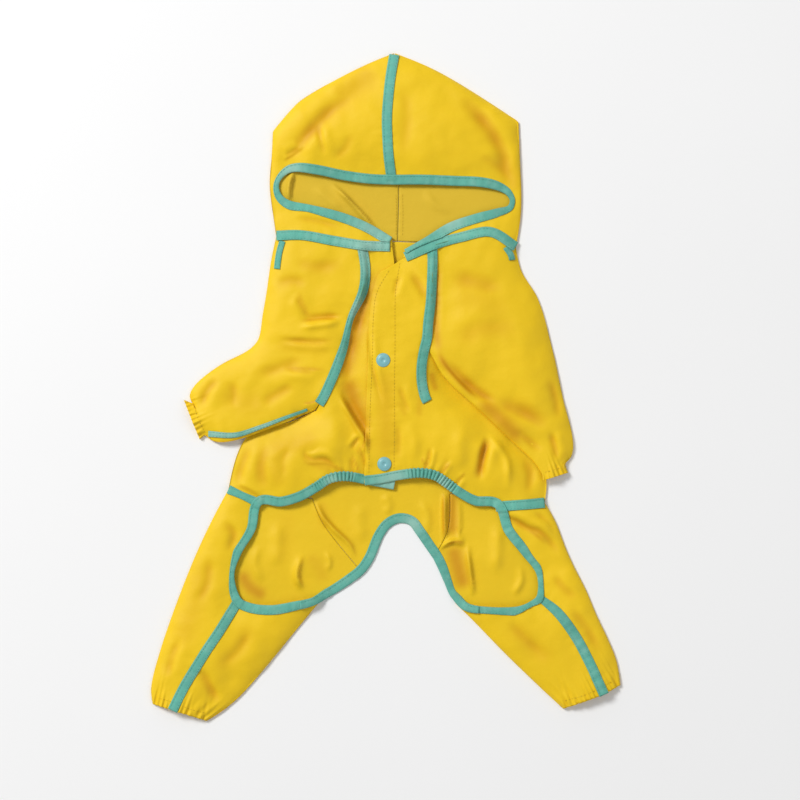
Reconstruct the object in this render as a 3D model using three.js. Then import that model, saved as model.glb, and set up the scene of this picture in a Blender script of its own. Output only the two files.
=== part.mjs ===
// A four-legged hooded raincoat for a small dog, laid out flat with its belly side up.
// Millimetres, +Z up. The coat lies on z = 0, with its hood towards +Y.
// Every piece of cloth is a wall that follows a smooth height over the floor:
// the under layer lies flat, and the upper layer rises in a low dome from its folded edges.

import * as THREE from "three";
import { mergeVertices } from "three/addons/utils/BufferGeometryUtils.js";

// Cloth and trimmings
const CLOTH = 1.0;
const SEAM_GAP = 0.3;
const TAPE_WIDTH = 8.5;
const TAPE_THICKNESS = 0.8;
const TAPE_LIFT = 0.45;
const SNAP_RADIUS = 6.3;
const SNAP_HEIGHT = 2.2;
const SNAPS = { snap_upper: [-2, 24], snap_lower: [-1, -69] };

// How the upper layer stands over the floor
const FOLD_HEIGHT = 2.0; // middle of the wall at a folded edge
const DOME_RISE = 8.5;
const DOME_REACH = 34;
const EDGE_DROOP = 0.3; // share of the rise that is lost along a free edge
const DROOP_REACH = 15;
const PLACKET_LAP = 2.6; // the under front lies this much lower beneath the placket

// How a sleeve lies on the body's side
const STACK_HEIGHT = 5.6;
const STACK_NEAR = 8;
const STACK_FAR = 26;
const PRESSED_SHARE = 0.8;
const PRESSED_REACH = 13;
const ARMPITS = {
  left: { at: [-63, -22], along: [-0.94, -0.34], rise: 3 },
  right: { at: [36, 38], along: [0.48, -0.88], rise: 7.5 },
};
const ARMPIT_REACH = 38;

// Gathers of the elastic
const GATHER_HEIGHT = 1.0;
const GATHER_LENGTH = 7;

const YELLOW = { color: 0xe9c21c, roughness: 0.55, metalness: 0 };
const TEAL = { color: 0x4fb6a6, roughness: 0.6, metalness: 0 };
const SNAP_BLUE = { color: 0x76b4c0, roughness: 0.35, metalness: 0 };

// Sections of each piece. Each row is one section, and each column is where an edge of the piece crosses it.

// Hood halves, from the throat round the face opening to the peak: the bound face edge, and the rim,
// which is the neck seam up to NECK_END and the folded outline after it, with a corner on each side.
const NECK_END = 4;
const HOOD_CORNER = { left: 8, right: 9 };
const CENTRE_BOW = -5.5; // how far the centre seam bows out halfway
const LEFT_HOOD = [
  { face: [6, 133], rim: [6, 126] },
  { face: [-14, 145], rim: [-21, 127] },
  { face: [-38, 155], rim: [-46, 131] },
  { face: [-66, 162], rim: [-74, 136] },
  { face: [-88, 167], rim: [-98, 136] },
  { face: [-95, 173], rim: [-101, 157] },
  { face: [-97, 181], rim: [-104, 182] },
  { face: [-94, 188], rim: [-102, 206] },
  { face: [-85, 194], rim: [-101, 230] },
  { face: [-62, 192], rim: [-78, 256] },
  { face: [-38, 187], rim: [-45, 276] },
  { face: [-16, 184], rim: [-15, 291] },
  { face: [6, 183], rim: [8, 300.2] },
];
const RIGHT_HOOD = [
  { face: [17, 122], rim: [16, 116] },
  { face: [36, 133], rim: [42, 127] },
  { face: [57, 146], rim: [66, 134] },
  { face: [80, 154], rim: [94, 139] },
  { face: [100, 159], rim: [117, 126] },
  { face: [111, 162], rim: [121, 150] },
  { face: [113, 168], rim: [122, 172] },
  { face: [109, 174], rim: [121, 196] },
  { face: [100, 178], rim: [120, 220] },
  { face: [84, 181], rim: [119.5, 238.5] },
  { face: [60, 182], rim: [76, 267] },
  { face: [33, 183], rim: [41, 287] },
  { face: [6, 183], rim: [8, 300.2] },
];
const HOOD_BACK_SEAM = [[11, 131.3], [12, 183], [10, 240], [8, 298.6]];

// Sleeves, from the neck to the end of the cuff. The front edge is the raglan seam up to the armpit,
// then the sleeve's lower fold. The back edge is the raglan seam of the under layer, up to the armpit.
const LEFT_ARMPIT = 6;
const LEFT_SLEEVE = [
  { front: [-21, 127], outer: [-98, 136], back: [-88, 135.5] },
  { front: [-18, 104], outer: [-103, 113], back: [-72, 108] },
  { front: [-20, 86], outer: [-107, 84], back: [-62, 80] },
  { front: [-31, 62], outer: [-111, 62], back: [-60, 52] },
  { front: [-38, 34], outer: [-114, 42], back: [-60, 24] },
  { front: [-54, -6], outer: [-126, 31], back: [-62, -4] },
  { front: [-63.4, -21.1], outer: [-143, 23], back: [-64.7, -20.4] },
  { front: [-88, -31], outer: [-157, 14] },
  { front: [-112, -40], outer: [-167, 6] },
  { front: [-136, -48], outer: [-174, -2] },
  { front: [-155, -49], outer: [-176, -9] },
  { front: [-162, -43], outer: [-173, -15] },
  { front: [-167, -47], outer: [-181, -12] },
];
const RIGHT_ARMPIT = 4;
const RIGHT_SLEEVE = [
  { front: [42, 127], outer: [117, 126], back: [107, 126.5] },
  { front: [42, 104], outer: [122, 103], back: [86, 102] },
  { front: [41, 80], outer: [135, 84], back: [68, 79] },
  { front: [38.5, 58], outer: [143, 62], back: [51, 58] },
  { front: [36.8, 38.4], outer: [148, 42], back: [38.3, 38.5] },
  { front: [52, 9], outer: [153, 22] },
  { front: [75, -12], outer: [157, 2] },
  { front: [97, -33], outer: [161, -16] },
  { front: [117, -52], outer: [166, -34] },
  { front: [131, -65], outer: [169, -52] },
  { front: [138, -74], outer: [167, -63] },
  { front: [141, -79], outer: [161, -69] },
  { front: [141, -84], outer: [164, -77] },
];

// Belly fronts, from the neck to the hem: the raglan seam and then the hidden side fold, and the front edge.
const LEFT_BELLY = [
  { side: [-21, 127], front: [6, 126] },
  { side: [-18, 104], front: [9, 103] },
  { side: [-20, 86], front: [10, 84] },
  { side: [-31, 62], front: [11, 60] },
  { side: [-38, 34], front: [11, 34] },
  { side: [-54, -6], front: [11, 6] },
  { side: [-62.6, -23], front: [11, -16] },
  { side: [-86, -33], front: [11, -34] },
  { side: [-120, -39], front: [10, -52] },
  { side: [-134, -62], front: [9, -70] },
  { side: [-141, -92], front: [8, -91] },
];
const RIGHT_BELLY = [
  { side: [42, 127], front: [-6, 103] },
  { side: [42, 104], front: [-12, 84] },
  { side: [41, 80], front: [-15, 60] },
  { side: [38.5, 58], front: [-15, 35] },
  { side: [35.2, 37.6], front: [-16, 10] },
  { side: [49.8, 8.2], front: [-17, -12] },
  { side: [82, -10], front: [-18, -30] },
  { side: [111, -34], front: [-18, -45] },
  { side: [134, -57], front: [-18, -58] },
  { side: [145, -80], front: [-19, -71] },
  { side: [143, -104], front: [-19, -87] },
];
const LEFT_HEM = [[-94, -106], [-76, -101], [-60, -92], [-49, -85], [-36, -83], [-16, -86.5]];
const RIGHT_HEM = [[80, -105], [65, -97], [52.5, -88], [43, -82], [31, -80], [13, -82], [-5, -85.5]];
const PLACKET_TOP = [16, 116];

// Rear legs, from the waist to the cuff. The front edge is the bound edge of the opening up to the crotch,
// then the taped seam. The back edge is the seam to the back up to BACK_SEAM_END, then the bound edge,
// and from the crotch on the inner fold.
const CROTCH = 4;
const BACK_SEAM_END = 3;
const LEFT_LEG = [
  { outer: [-141, -92], front: [-112, -105], back: [-66, -100] },
  { outer: [-154, -116], front: [-118, -128], back: [-57, -122] },
  { outer: [-167, -143], front: [-131, -150], back: [-42, -142] },
  { outer: [-178, -169], front: [-137, -169], back: [-20, -168] },
  { outer: [-188, -195], front: [-131, -190], back: [-58, -191] },
  { outer: [-198, -223], front: [-147, -216], back: [-85, -224] },
  { outer: [-206, -249], front: [-164, -242], back: [-112, -257] },
  { outer: [-211, -271], front: [-180, -268], back: [-137, -284] },
  { outer: [-209, -285], front: [-191, -290], back: [-161, -300] },
];
const RIGHT_LEG = [
  { outer: [143, -104], front: [99, -107.5], back: [58, -96] },
  { outer: [153, -121], front: [108, -130], back: [58, -115] },
  { outer: [161, -143], front: [123, -149], back: [55, -133] },
  { outer: [170, -163], front: [137, -168], back: [44, -152] },
  { outer: [180, -182], front: [137, -188], back: [63, -194] },
  { outer: [189, -204], front: [155, -203], back: [84, -215] },
  { outer: [199, -225], front: [170, -223], back: [107, -239] },
  { outer: [208, -247], front: [184, -249], back: [133, -264] },
  { outer: [211, -268], front: [196, -276], back: [160, -289] },
];
const LEG_MOUTHS = {
  left: [[-77, -193], [-102, -197], [-122, -195]],
  right: [[84, -198], [103, -199], [120, -198], [131, -193.5]],
};
const TAIL_ARCH = [[-12, -156], [-3, -134], [4, -125], [13, -121], [22, -123], [29, -132], [37, -144]];

// The back, from the neck to the waist: its raglan seams, and the two lines that end in the tail strip.
const BACK = [
  { left: [-88, 135.5], leftSeam: [-40, 133.3], rightSeam: [50, 129.1], right: [107, 126.5] },
  { left: [-72, 108], leftSeam: [-42, 108], rightSeam: [51, 107], right: [86, 102] },
  { left: [-62, 80], leftSeam: [-44, 84], rightSeam: [50, 83], right: [68, 79] },
  { left: [-60, 52], leftSeam: [-46, 60], rightSeam: [40, 60], right: [51, 58] },
  { left: [-60, 24], leftSeam: [-48, 38], rightSeam: [28, 36], right: [34.6, 35.9] },
  { left: [-62, -4], leftSeam: [-51, 15], rightSeam: [36, 6] },
  { left: [-62.2, -24.7], leftSeam: [-54, -12], rightSeam: [48, -16] },
  { leftSeam: [-57, -36], rightSeam: [52, -38] },
  { leftSeam: [-60, -56], rightSeam: [54, -58] },
  { leftSeam: [-63, -78], rightSeam: [56, -78] },
  { leftSeam: [-66, -100], rightSeam: [58, -96] },
];

// Bindings that don't follow an edge of a piece
const RAGLAN_TAIL_RIGHT = [[34.5, 33], [32.5, 18], [33, 2], [35.5, -9]];
const SHOULDERS = {
  left: [[-92.5, 131], [-95.5, 120], [-97.5, 106]],
  right: [[108, 125.5], [113, 118], [114.5, 107]],
};
const UNDERARM_LEFT = [[-73, -18], [-90, -23], [-112, -31], [-136, -38], [-157, -40]];

// Soft swellings of the upper layer, and its largest folds: ridges above zero, troughs below it.
const SWELLINGS = [
  { at: [-50, 228], reach: 45, rise: 3.5 },
  { at: [60, 232], reach: 50, rise: 4 },
  { at: [20, 20], reach: 55, rise: 3 },
  { at: [-55, -55], reach: 35, rise: 3 },
  { at: [60, -55], reach: 35, rise: 3 },
  { at: [110, 30], reach: 60, rise: 3 },
  { at: [-80, 60], reach: 50, rise: 1.5 },
];
const UPPER_FOLDS = [
  { name: "hood hollow, left", from: [-20, 268], to: [-88, 205], width: 13, height: -3.2 },
  { name: "hood ridge, left", from: [-62, 225], to: [-70, 200], width: 8, height: 2 },
  { name: "hood hollow, right", from: [62, 262], to: [112, 190], width: 14, height: -3.2 },
  { name: "front sunk by the placket", from: [-34, 40], to: [-30, -60], width: 10, height: -3.6 },
  { name: "billow beside it", from: [-52, -4], to: [-46, -52], width: 9, height: 2.4 },
  { name: "pocket over the gathers", from: [-72, -60], to: [-48, -70], width: 8, height: -2.6 },
  { name: "fold over the gathers, right", from: [90, -44], to: [80, -82], width: 7, height: -3.4 },
  { name: "bend beside it", from: [102, -48], to: [108, -88], width: 8, height: 2.2 },
  { name: "thigh crease, right", from: [106, -118], to: [160, -162], width: 9, height: -2.6 },
  { name: "waist dip, left", from: [-130, -84], to: [-112, -96], width: 8, height: -2 },
  { name: "shin hollow, left", from: [-130, -238], to: [-150, -280], width: 11, height: -2.2 },
  { name: "shin hollow, right", from: [120, -215], to: [150, -262], width: 12, height: -2 },
  { name: "shin ridge, left", from: [-180, -190], to: [-196, -250], width: 9, height: 1.6 },
  { name: "elbow crease, left", from: [-82, 59], to: [-48, 61], width: 7, height: -2.6 },
  { name: "elbow ridge, left", from: [-84, 48], to: [-54, 49], width: 6, height: 2 },
  { name: "second crease, left", from: [-98, 35], to: [-58, 35], width: 7, height: -2 },
  { name: "shoulder dent, left", from: [-80, 92], to: [-68, 72], width: 8, height: -1.8 },
  { name: "forearm hollow, left", from: [-145, -12], to: [-100, 6], width: 12, height: -2.2 },
  { name: "valley by the raglan, right", from: [54, 116], to: [52, 62], width: 8, height: -3 },
  { name: "hollow above the lower fold", from: [76, 10], to: [138, -50], width: 12, height: -3.6 },
  { name: "shoulder hollow, right", from: [66, 98], to: [112, 82], width: 14, height: -1.6 },
];
const FLOOR_FOLDS = [
  { name: "inside the opening, left", from: [-103, -128], to: [-101, -166], width: 8, height: 2.6 },
  { name: "second", from: [-74, -134], to: [-80, -170], width: 7, height: 3 },
  { name: "inside the opening, right", from: [82, -130], to: [84, -170], width: 9, height: 3 },
  { name: "third", from: [108, -146], to: [106, -176], width: 8, height: 2.2 },
  { name: "inside the hood, left", from: [-70, 180], to: [-24, 156], width: 8, height: 2.4 },
  { name: "inside the hood, right", from: [46, 172], to: [76, 166], width: 9, height: 2 },
];

const clamp = (value) => Math.min(1, Math.max(0, value));
const mix = (from, to, share) => from + (to - from) * share;
const lastOf = (list) => list[list.length - 1];
const flat = ([x, y]) => new THREE.Vector3(x, y, 0);

function smoothStep(low, high, value) {
  const share = clamp((value - low) / (high - low));
  return share * share * (3 - 2 * share);
}

const spline = (points) => new THREE.CatmullRomCurve3(points.map(flat), false, "centripetal");

// A smooth curve through a column of a table, read by its row number. It keeps a corner at each break.
function column(table, name, ...breaks) {
  const last = table.filter((row) => row[name]).length - 1;
  const stops = [0, ...breaks, last];
  const parts = stops.slice(1).map((stop, k) => ({
    start: stops[k],
    stop,
    curve: spline(table.slice(stops[k], stop + 1).map((row) => row[name])),
  }));
  return (row) => {
    const part = parts.find(({ stop }) => row <= stop) ?? lastOf(parts);
    return part.curve.getPoint(clamp((row - part.start) / (part.stop - part.start)));
  };
}

// Curves and lines that are read by a share of their length, and several of them end to end.
function between(start, points, end) {
  const curve = spline([[start.x, start.y], ...points, [end.x, end.y]]);
  return (share) => curve.getPointAt(clamp(share));
}

const straight = (start, end) => (share) => start.clone().lerp(end, share);
const stretch = (path, first, last) => (share) => path(mix(first, last, share));

function chain(...parts) {
  return (share) => {
    let rest = share;
    for (const [size, curve] of parts.slice(0, -1)) {
      if (rest <= size) return curve(rest / size);
      rest -= size;
    }
    const [size, curve] = lastOf(parts);
    return curve(clamp(rest / size));
  };
}

const STEPS = 2; // sections made for each row of a table
const GAP_ROW = 0.018; // half the gap of a seam, as a share of a row

function rowsOf(first, last) {
  const count = Math.round((last - first) * STEPS);
  return Array.from({ length: count + 1 }, (_, k) => first + k / STEPS);
}

const besideCorners = Object.values(HOOD_CORNER).flatMap((row) => [row - 0.12, row + 0.12]);
const HOOD_ROWS = [...rowsOf(0, LEFT_HOOD.length - 1), ...besideCorners].sort((a, b) => a - b);
const SLEEVE_ROWS = rowsOf(0, LEFT_SLEEVE.length - 1);
const BELLY_ROWS = rowsOf(0, LEFT_BELLY.length - 1);
const LEG_ROWS = rowsOf(0, LEFT_LEG.length - 1);

// The edges that pieces share
const SIDES = ["left", "right"];
const ARMPIT_ROW = { left: LEFT_ARMPIT, right: RIGHT_ARMPIT };
const TABLES = {
  left: { hood: LEFT_HOOD, sleeve: LEFT_SLEEVE, belly: LEFT_BELLY, leg: LEFT_LEG },
  right: { hood: RIGHT_HOOD, sleeve: RIGHT_SLEEVE, belly: RIGHT_BELLY, leg: RIGHT_LEG },
};
const onSides = (make) => Object.fromEntries(SIDES.map((side) => [side, make(side, TABLES[side])]));
const HOOD_FACE = onSides((side, { hood }) => column(hood, "face"));
const HOOD_RIM = onSides((side, { hood }) => column(hood, "rim", NECK_END, HOOD_CORNER[side]));
const SLEEVE_FRONT = onSides((side, { sleeve }) => column(sleeve, "front", ARMPIT_ROW[side]));
const SLEEVE_OUTER = onSides((side, { sleeve }) => column(sleeve, "outer"));
const BELLY_SIDE = onSides((side, { belly }) => column(belly, "side", ARMPIT_ROW[side]));
const BELLY_FRONT = onSides((side, { belly }) => column(belly, "front"));
const LEG_OUTER = onSides((side, { leg }) => column(leg, "outer"));
const LEG_FRONT = onSides((side, { leg }) => column(leg, "front", CROTCH));
const LEG_BACK = onSides((side, { leg }) => column(leg, "back", BACK_SEAM_END, CROTCH));
const WAIST = onSides((side) => straight(BELLY_SIDE[side](10), LEG_FRONT[side](0)));
const HEM = {
  left: between(LEG_FRONT.left(0), LEFT_HEM, BELLY_FRONT.left(10)),
  right: between(LEG_FRONT.right(0), RIGHT_HEM, BELLY_FRONT.right(10)),
};
const LEG_MOUTH = onSides((side) =>
  between(LEG_BACK[side](CROTCH), LEG_MOUTHS[side], LEG_FRONT[side](CROTCH)),
);
const TAIL = between(LEG_BACK.left(BACK_SEAM_END), TAIL_ARCH, LEG_BACK.right(BACK_SEAM_END));

// An edge as it is cut, section by section, for measuring distances to it.
function cutLine(edge, rows, first = 0, last = Infinity) {
  return rows.filter((row) => row >= first && row <= last).map((row) => edge(row));
}

function distanceTo(path, x, y) {
  let nearest = Infinity;
  for (let k = 1; k < path.length; k += 1) {
    const from = path[k - 1];
    const dx = path[k].x - from.x;
    const dy = path[k].y - from.y;
    const share = clamp(((x - from.x) * dx + (y - from.y) * dy) / (dx * dx + dy * dy || 1));
    nearest = Math.min(nearest, Math.hypot(x - from.x - share * dx, y - from.y - share * dy));
  }
  return nearest;
}

const nearestOf = (paths, x, y) => Math.min(...paths.map((path) => distanceTo(path, x, y)));

const BODY_FOLDS = SIDES.flatMap((side) => [
  cutLine(HOOD_RIM[side], HOOD_ROWS, NECK_END),
  cutLine(BELLY_SIDE[side], BELLY_ROWS, ARMPIT_ROW[side]),
  cutLine(LEG_OUTER[side], LEG_ROWS),
  cutLine(LEG_BACK[side], LEG_ROWS, CROTCH),
]);
const SLEEVE_FOLDS = onSides((side) => [
  cutLine(SLEEVE_OUTER[side], SLEEVE_ROWS),
  cutLine(SLEEVE_FRONT[side], SLEEVE_ROWS, ARMPIT_ROW[side]),
]);
const FREE_EDGES = SIDES.flatMap((side) => [
  cutLine(HOOD_FACE[side], HOOD_ROWS),
  cutLine(LEG_FRONT[side], LEG_ROWS, 0, CROTCH),
]);
const LINES_ON_BODY = {
  left: cutLine(SLEEVE_FRONT.left, SLEEVE_ROWS, LEFT_ARMPIT, LEFT_ARMPIT + 3),
  right: cutLine(SLEEVE_FRONT.right, SLEEVE_ROWS, RIGHT_ARMPIT),
};

// Rises as a quarter ellipse from a folded edge, and is level beyond the reach.
function dome(distance) {
  const share = clamp(distance / DOME_REACH);
  return Math.sqrt(share * (2 - share));
}

// Ridges and troughs: each fades across its width and towards both ends.
function foldHeight(folds, x, y) {
  return folds.reduce((sum, { from, to, width, height }) => {
    const dx = to[0] - from[0];
    const dy = to[1] - from[1];
    const long = Math.hypot(dx, dy);
    const along = ((x - from[0]) * dx + (y - from[1]) * dy) / long;
    const across = ((x - from[0]) * dy - (y - from[1]) * dx) / long;
    const past = Math.max(0, -along, along - long);
    return sum + height * Math.exp(-(across ** 2 + past ** 2) / width ** 2);
  }, 0);
}

// How far a point is past an armpit, along the sleeve's lower fold, from none to fully.
function pastArmpit(side, x, y) {
  const { at, along } = ARMPITS[side];
  return smoothStep(8, 28, (x - at[0]) * along[0] + (y - at[1]) * along[1]);
}

// The folded edges start higher at the armpits, where body and sleeve are sewn together.
function foldLevel(x, y) {
  return SIDES.reduce((sum, side) => {
    const { at, rise } = ARMPITS[side];
    return sum + rise * (1 - smoothStep(0, ARMPIT_REACH, Math.hypot(x - at[0], y - at[1])));
  }, FOLD_HEIGHT);
}

// Height over the level of the folds, for cloth whose nearest fold is at this distance.
function rise(fold, x, y) {
  const full = SWELLINGS.reduce((sum, { at, reach, rise: more }) => {
    const away = Math.hypot(x - at[0], y - at[1]);
    return sum + more * Math.exp(-((away / reach) ** 2));
  }, DOME_RISE + FOLD_HEIGHT - foldLevel(x, y));
  const droop = 1 - EDGE_DROOP * Math.exp(-((nearestOf(FREE_EDGES, x, y) / DROOP_REACH) ** 2));
  return full * dome(fold) * droop + foldHeight(UPPER_FOLDS, x, y) * smoothStep(2, 16, fold);
}

// Middle of the wall of the under layer, and of the upper layer of hood, body and legs.
const floorHeight = (x, y) => CLOTH / 2 + Math.max(0, foldHeight(FLOOR_FOLDS, x, y) - 0.2);

function upper(x, y) {
  const pressed = SIDES.reduce((share, side) => {
    const near = Math.exp(-((distanceTo(LINES_ON_BODY[side], x, y) / PRESSED_REACH) ** 2));
    return share * (1 - PRESSED_SHARE * near * pastArmpit(side, x, y));
  }, 1);
  const level = foldLevel(x, y) + rise(nearestOf(BODY_FOLDS, x, y), x, y) * pressed;
  return Math.max(level, floorHeight(x, y) + CLOTH + 0.45);
}

// The left front is sunk where the placket laps over it.
function leftFront(x, y) {
  return upper(x, y) - PLACKET_LAP * smoothStep(-34, -22, x) * (1 - smoothStep(112, 123, y));
}

// How high a sleeve is lifted where its lower fold lies on the body, and the middles of its two walls.
function sleeveLift(side, x, y) {
  const far = smoothStep(STACK_NEAR, STACK_FAR, distanceTo(LINES_ON_BODY[side], x, y));
  return STACK_HEIGHT * (1 - far) * pastArmpit(side, x, y);
}

const sleeveFloor = (side) => (x, y) => CLOTH / 2 + sleeveLift(side, x, y);

const sleeveTop = (side) => (x, y) => {
  const lift = sleeveLift(side, x, y);
  const over = rise(nearestOf(SLEEVE_FOLDS[side], x, y), x, y) * (1 - (0.45 * lift) / STACK_HEIGHT);
  return Math.max(foldLevel(x, y) + lift + over, CLOTH * 1.5 + lift + 0.45);
};

// Cloth as sheets of triangles that share their edges, made into one wall.
class Cloth {
  constructor(flip = false) {
    this.flip = flip;
    this.corners = [];
  }

  // Joins two rows of points, which may have different counts.
  stitch(rowA, rowB) {
    let a = 0;
    let b = 0;
    while (a < rowA.length - 1 || b < rowB.length - 1) {
      const shareA = (a + 1) / (rowA.length - 1);
      const shareB = (b + 1) / (rowB.length - 1);
      const fromA = b >= rowB.length - 1 || (a < rowA.length - 1 && shareA <= shareB + 1e-6);
      const [p, q, r] = fromA ? [rowA[a], rowA[a + 1], rowB[b]] : [rowA[a], rowB[b + 1], rowB[b]];
      this.corners.push(...(this.flip ? [p, r, q] : [p, q, r]));
      if (fromA) a += 1;
      else b += 1;
    }
  }

  // A sheet over rows, with place(share across, row) for its points, and a count of columns for each row.
  sheet(rows, columns, place) {
    const lines = rows.map((row) => {
      const count = typeof columns === "function" ? columns(row) : columns;
      return Array.from({ length: count + 1 }, (_, k) => place(k / count, row));
    });
    for (let k = 1; k < lines.length; k += 1) this.stitch(lines[k], lines[k - 1]);
    return this;
  }

  // The closed wall: each point is moved half the thickness out and in, and the edges are closed.
  wall(thickness) {
    const merged = mergeVertices(new THREE.BufferGeometry().setFromPoints(this.corners), 1e-3);
    const triangles = [];
    for (let k = 0; k < merged.index.count; k += 3) {
      const [a, b, c] = [0, 1, 2].map((corner) => merged.index.getX(k + corner));
      if (a !== b && b !== c && c !== a) triangles.push([a, b, c]);
    }
    merged.setIndex(triangles.flat());
    merged.computeVertexNormals();
    const { position, normal } = merged.attributes;
    const total = position.count;
    const points = new Float32Array(total * 6);
    for (let k = 0; k < total * 3; k += 1) {
      points[k] = position.array[k] + (normal.array[k] * thickness) / 2;
      points[total * 3 + k] = position.array[k] - (normal.array[k] * thickness) / 2;
    }
    const edges = new Set(triangles.flatMap(([a, b, c]) => [`${a} ${b}`, `${b} ${c}`, `${c} ${a}`]));
    const faces = [];
    for (const [a, b, c] of triangles) {
      faces.push(a, b, c, total + a, total + c, total + b);
      for (const [from, to] of [[a, b], [b, c], [c, a]]) {
        if (!edges.has(`${to} ${from}`)) faces.push(from, total + from, total + to, from, total + to, to);
      }
    }
    const solid = new THREE.BufferGeometry();
    return solid.setAttribute("position", new THREE.BufferAttribute(points, 3)).setIndex(faces);
  }
}

const coat = new THREE.Group();

function addPiece(name, geometry, finish) {
  const mesh = new THREE.Mesh(geometry, new THREE.MeshStandardMaterial(finish));
  mesh.name = name;
  coat.add(mesh);
}

// A sheet between four edges: left and right are read by row, top and bottom by the share across.
function coons(left, right, last, top, bottom) {
  const [topLine, bottomLine] = [top, bottom].map((edge) => straight(edge(0), edge(1)));
  return (share, row) => {
    const down = row / last;
    const sides = left(row).clone().lerp(right(row), share);
    const ends = top(share).clone().lerp(bottom(share), down);
    const plain = topLine(share).lerp(bottomLine(share), down);
    return sides.add(ends).sub(plain);
  };
}

const ruled = (left, right) => (share, row) => left(row).clone().lerp(right(row), share);

// A sheet's plan set to its heights. Its columns may crowd towards folded edges, where the dome is steepest.
const raised = (plan, height, crowd = (share) => share) => (share, row) => {
  const point = plan(crowd(share), row);
  return point.setZ(height(point.x, point.y, share, row));
};
const crowdEnd = (share) => Math.sin((share * Math.PI) / 2);
const crowdStart = (share) => 1 - crowdEnd(1 - share);
const crowdBoth = (share) => (1 - Math.cos(share * Math.PI)) / 2;

// The turn of a folded edge, from the upper layer at share 0 down to the under layer at share 1.
const TURN_COLUMNS = 2;
const TURN_RADIUS = FOLD_HEIGHT - CLOTH / 2;

function foldTurn(edge, towards, top, under, radius = TURN_RADIUS) {
  return (share, row) => {
    const start = edge(row).clone();
    const step = towards(row).clone().sub(start).setZ(0).normalize();
    const angle = (share * Math.PI) / 2;
    const plan = start.clone().addScaledVector(step, radius * (1 - Math.cos(angle)));
    const low = under(plan.x, plan.y);
    return plan.setZ(low + (top(start.x, start.y) - low) * (1 - Math.sin(angle)));
  };
}

const insetOf = (turn) => (row) => turn(1, row).setZ(0);
const reversed = (turn) => (share, row) => turn(1 - share, row);

// Moves an edge a little towards another, so that two pieces keep a gap at their seam.
function spaced(edge, towards, gap = SEAM_GAP / 2) {
  return (row) => {
    const point = edge(row).clone();
    const step = towards(row).clone().sub(point);
    return step.length() < 1e-6 ? point : point.addScaledVector(step.normalize(), gap);
  };
}

// Rows of a piece. A first or last row that meets a seam is drawn back by half the gap.
function cutRows(rows, seamAtFirst, seamAtLast) {
  return rows.map((row, k) => {
    if (k === 0 && seamAtFirst) return row + GAP_ROW;
    return k === rows.length - 1 && seamAtLast ? row - GAP_ROW : row;
  });
}

// Gathers on elastic: waves across a cuff that grow over its last rows, and fade at its folds.
function gathered(height, start, end, cuffStart, cuffEnd) {
  const waves = Math.max(3, Math.round(cuffStart.distanceTo(cuffEnd) / GATHER_LENGTH));
  return (x, y, share, row) => {
    const swing = Math.sin(share * waves * 2 * Math.PI) * Math.sin(share * Math.PI);
    return height(x, y) + GATHER_HEIGHT * smoothStep(start, end, row) * swing;
  };
}

// The hood's centre seam bows out; the cloth beside it follows, row by row.
const centreBow = (share, row) =>
  flat([CENTRE_BOW * Math.sin(share * Math.PI) * smoothStep(8, 12, row), 0]);

function hood(side) {
  const face = HOOD_FACE[side];
  const rim = (row) => HOOD_RIM[side](row === NECK_END ? row + GAP_ROW : row);
  const rimEdge = (row) => (row < NECK_END ? spaced(rim, face)(row) : rim(row));
  const aside = new THREE.Vector3(side === "left" ? -SEAM_GAP / 2 : SEAM_GAP / 2, 0, 0);
  const backSeam = spline(HOOD_BACK_SEAM);
  const rows = cutRows(HOOD_ROWS, false, true);
  const around = rows.filter((row) => row >= NECK_END);
  const seamPoint = (row, part = 1) => {
    const share = (part * (row - NECK_END)) / (lastOf(HOOD_ROWS) - NECK_END);
    return backSeam.getPoint(clamp(share)).add(aside);
  };
  const turn = foldTurn(rim, (row) => seamPoint(row, 0.5), upper, floorHeight);
  const under = (share, row) => {
    const inset = insetOf(turn)(row);
    return row === lastOf(rows) ? inset : inset.lerp(seamPoint(row), share);
  };
  const cloth = new Cloth(side === "right");
  const plan = (share, row) => ruled(face, rimEdge)(share, row).add(centreBow(share, row));
  cloth.sheet(rows, (row) => (row < NECK_END ? 4 : 8), raised(plan, upper, crowdEnd));
  cloth.sheet(around, TURN_COLUMNS, turn);
  cloth.sheet(around, 4, raised(under, floorHeight));
  addPiece(`hood_${side}`, cloth.wall(CLOTH), YELLOW);
}

function sleeve(side) {
  const armpit = ARMPIT_ROW[side];
  const last = lastOf(SLEEVE_ROWS);
  const outer = SLEEVE_OUTER[side];
  const fold = SLEEVE_FRONT[side];
  const top = sleeveTop(side);
  const floor = sleeveFloor(side);
  const front = (row) => (row < armpit ? spaced(fold, outer)(row) : fold(row));
  const outerTurn = foldTurn(outer, (row) => fold(row), top, floor);
  const lowerTurn = foldTurn(fold, outer, top, floor);
  const seam = spaced(column(TABLES[side].sleeve, "back"), outer);
  const back = (row) => (row < armpit ? seam(row) : insetOf(lowerTurn)(row));
  const neck = stretch(HOOD_RIM[side], 1, NECK_END);
  const plan = coons(front, outer, last, neck, straight(fold(last), outer(last)));
  const rows = cutRows(SLEEVE_ROWS, true, false);
  const crest = gathered(top, last - 2, last - 0.5, fold(last), outer(last));
  const cloth = new Cloth(side === "left");
  cloth.sheet(rows, (row) => (row > last - 2 ? 16 : 8), raised(plan, crest, crowdBoth));
  cloth.sheet(rows, TURN_COLUMNS, outerTurn);
  cloth.sheet(rows, 4, raised(ruled(insetOf(outerTurn), back), floor));
  cloth.sheet(rows.filter((row) => row >= armpit), TURN_COLUMNS, reversed(lowerTurn));
  addPiece(`sleeve_${side}`, cloth.wall(CLOTH), YELLOW);
}

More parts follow.
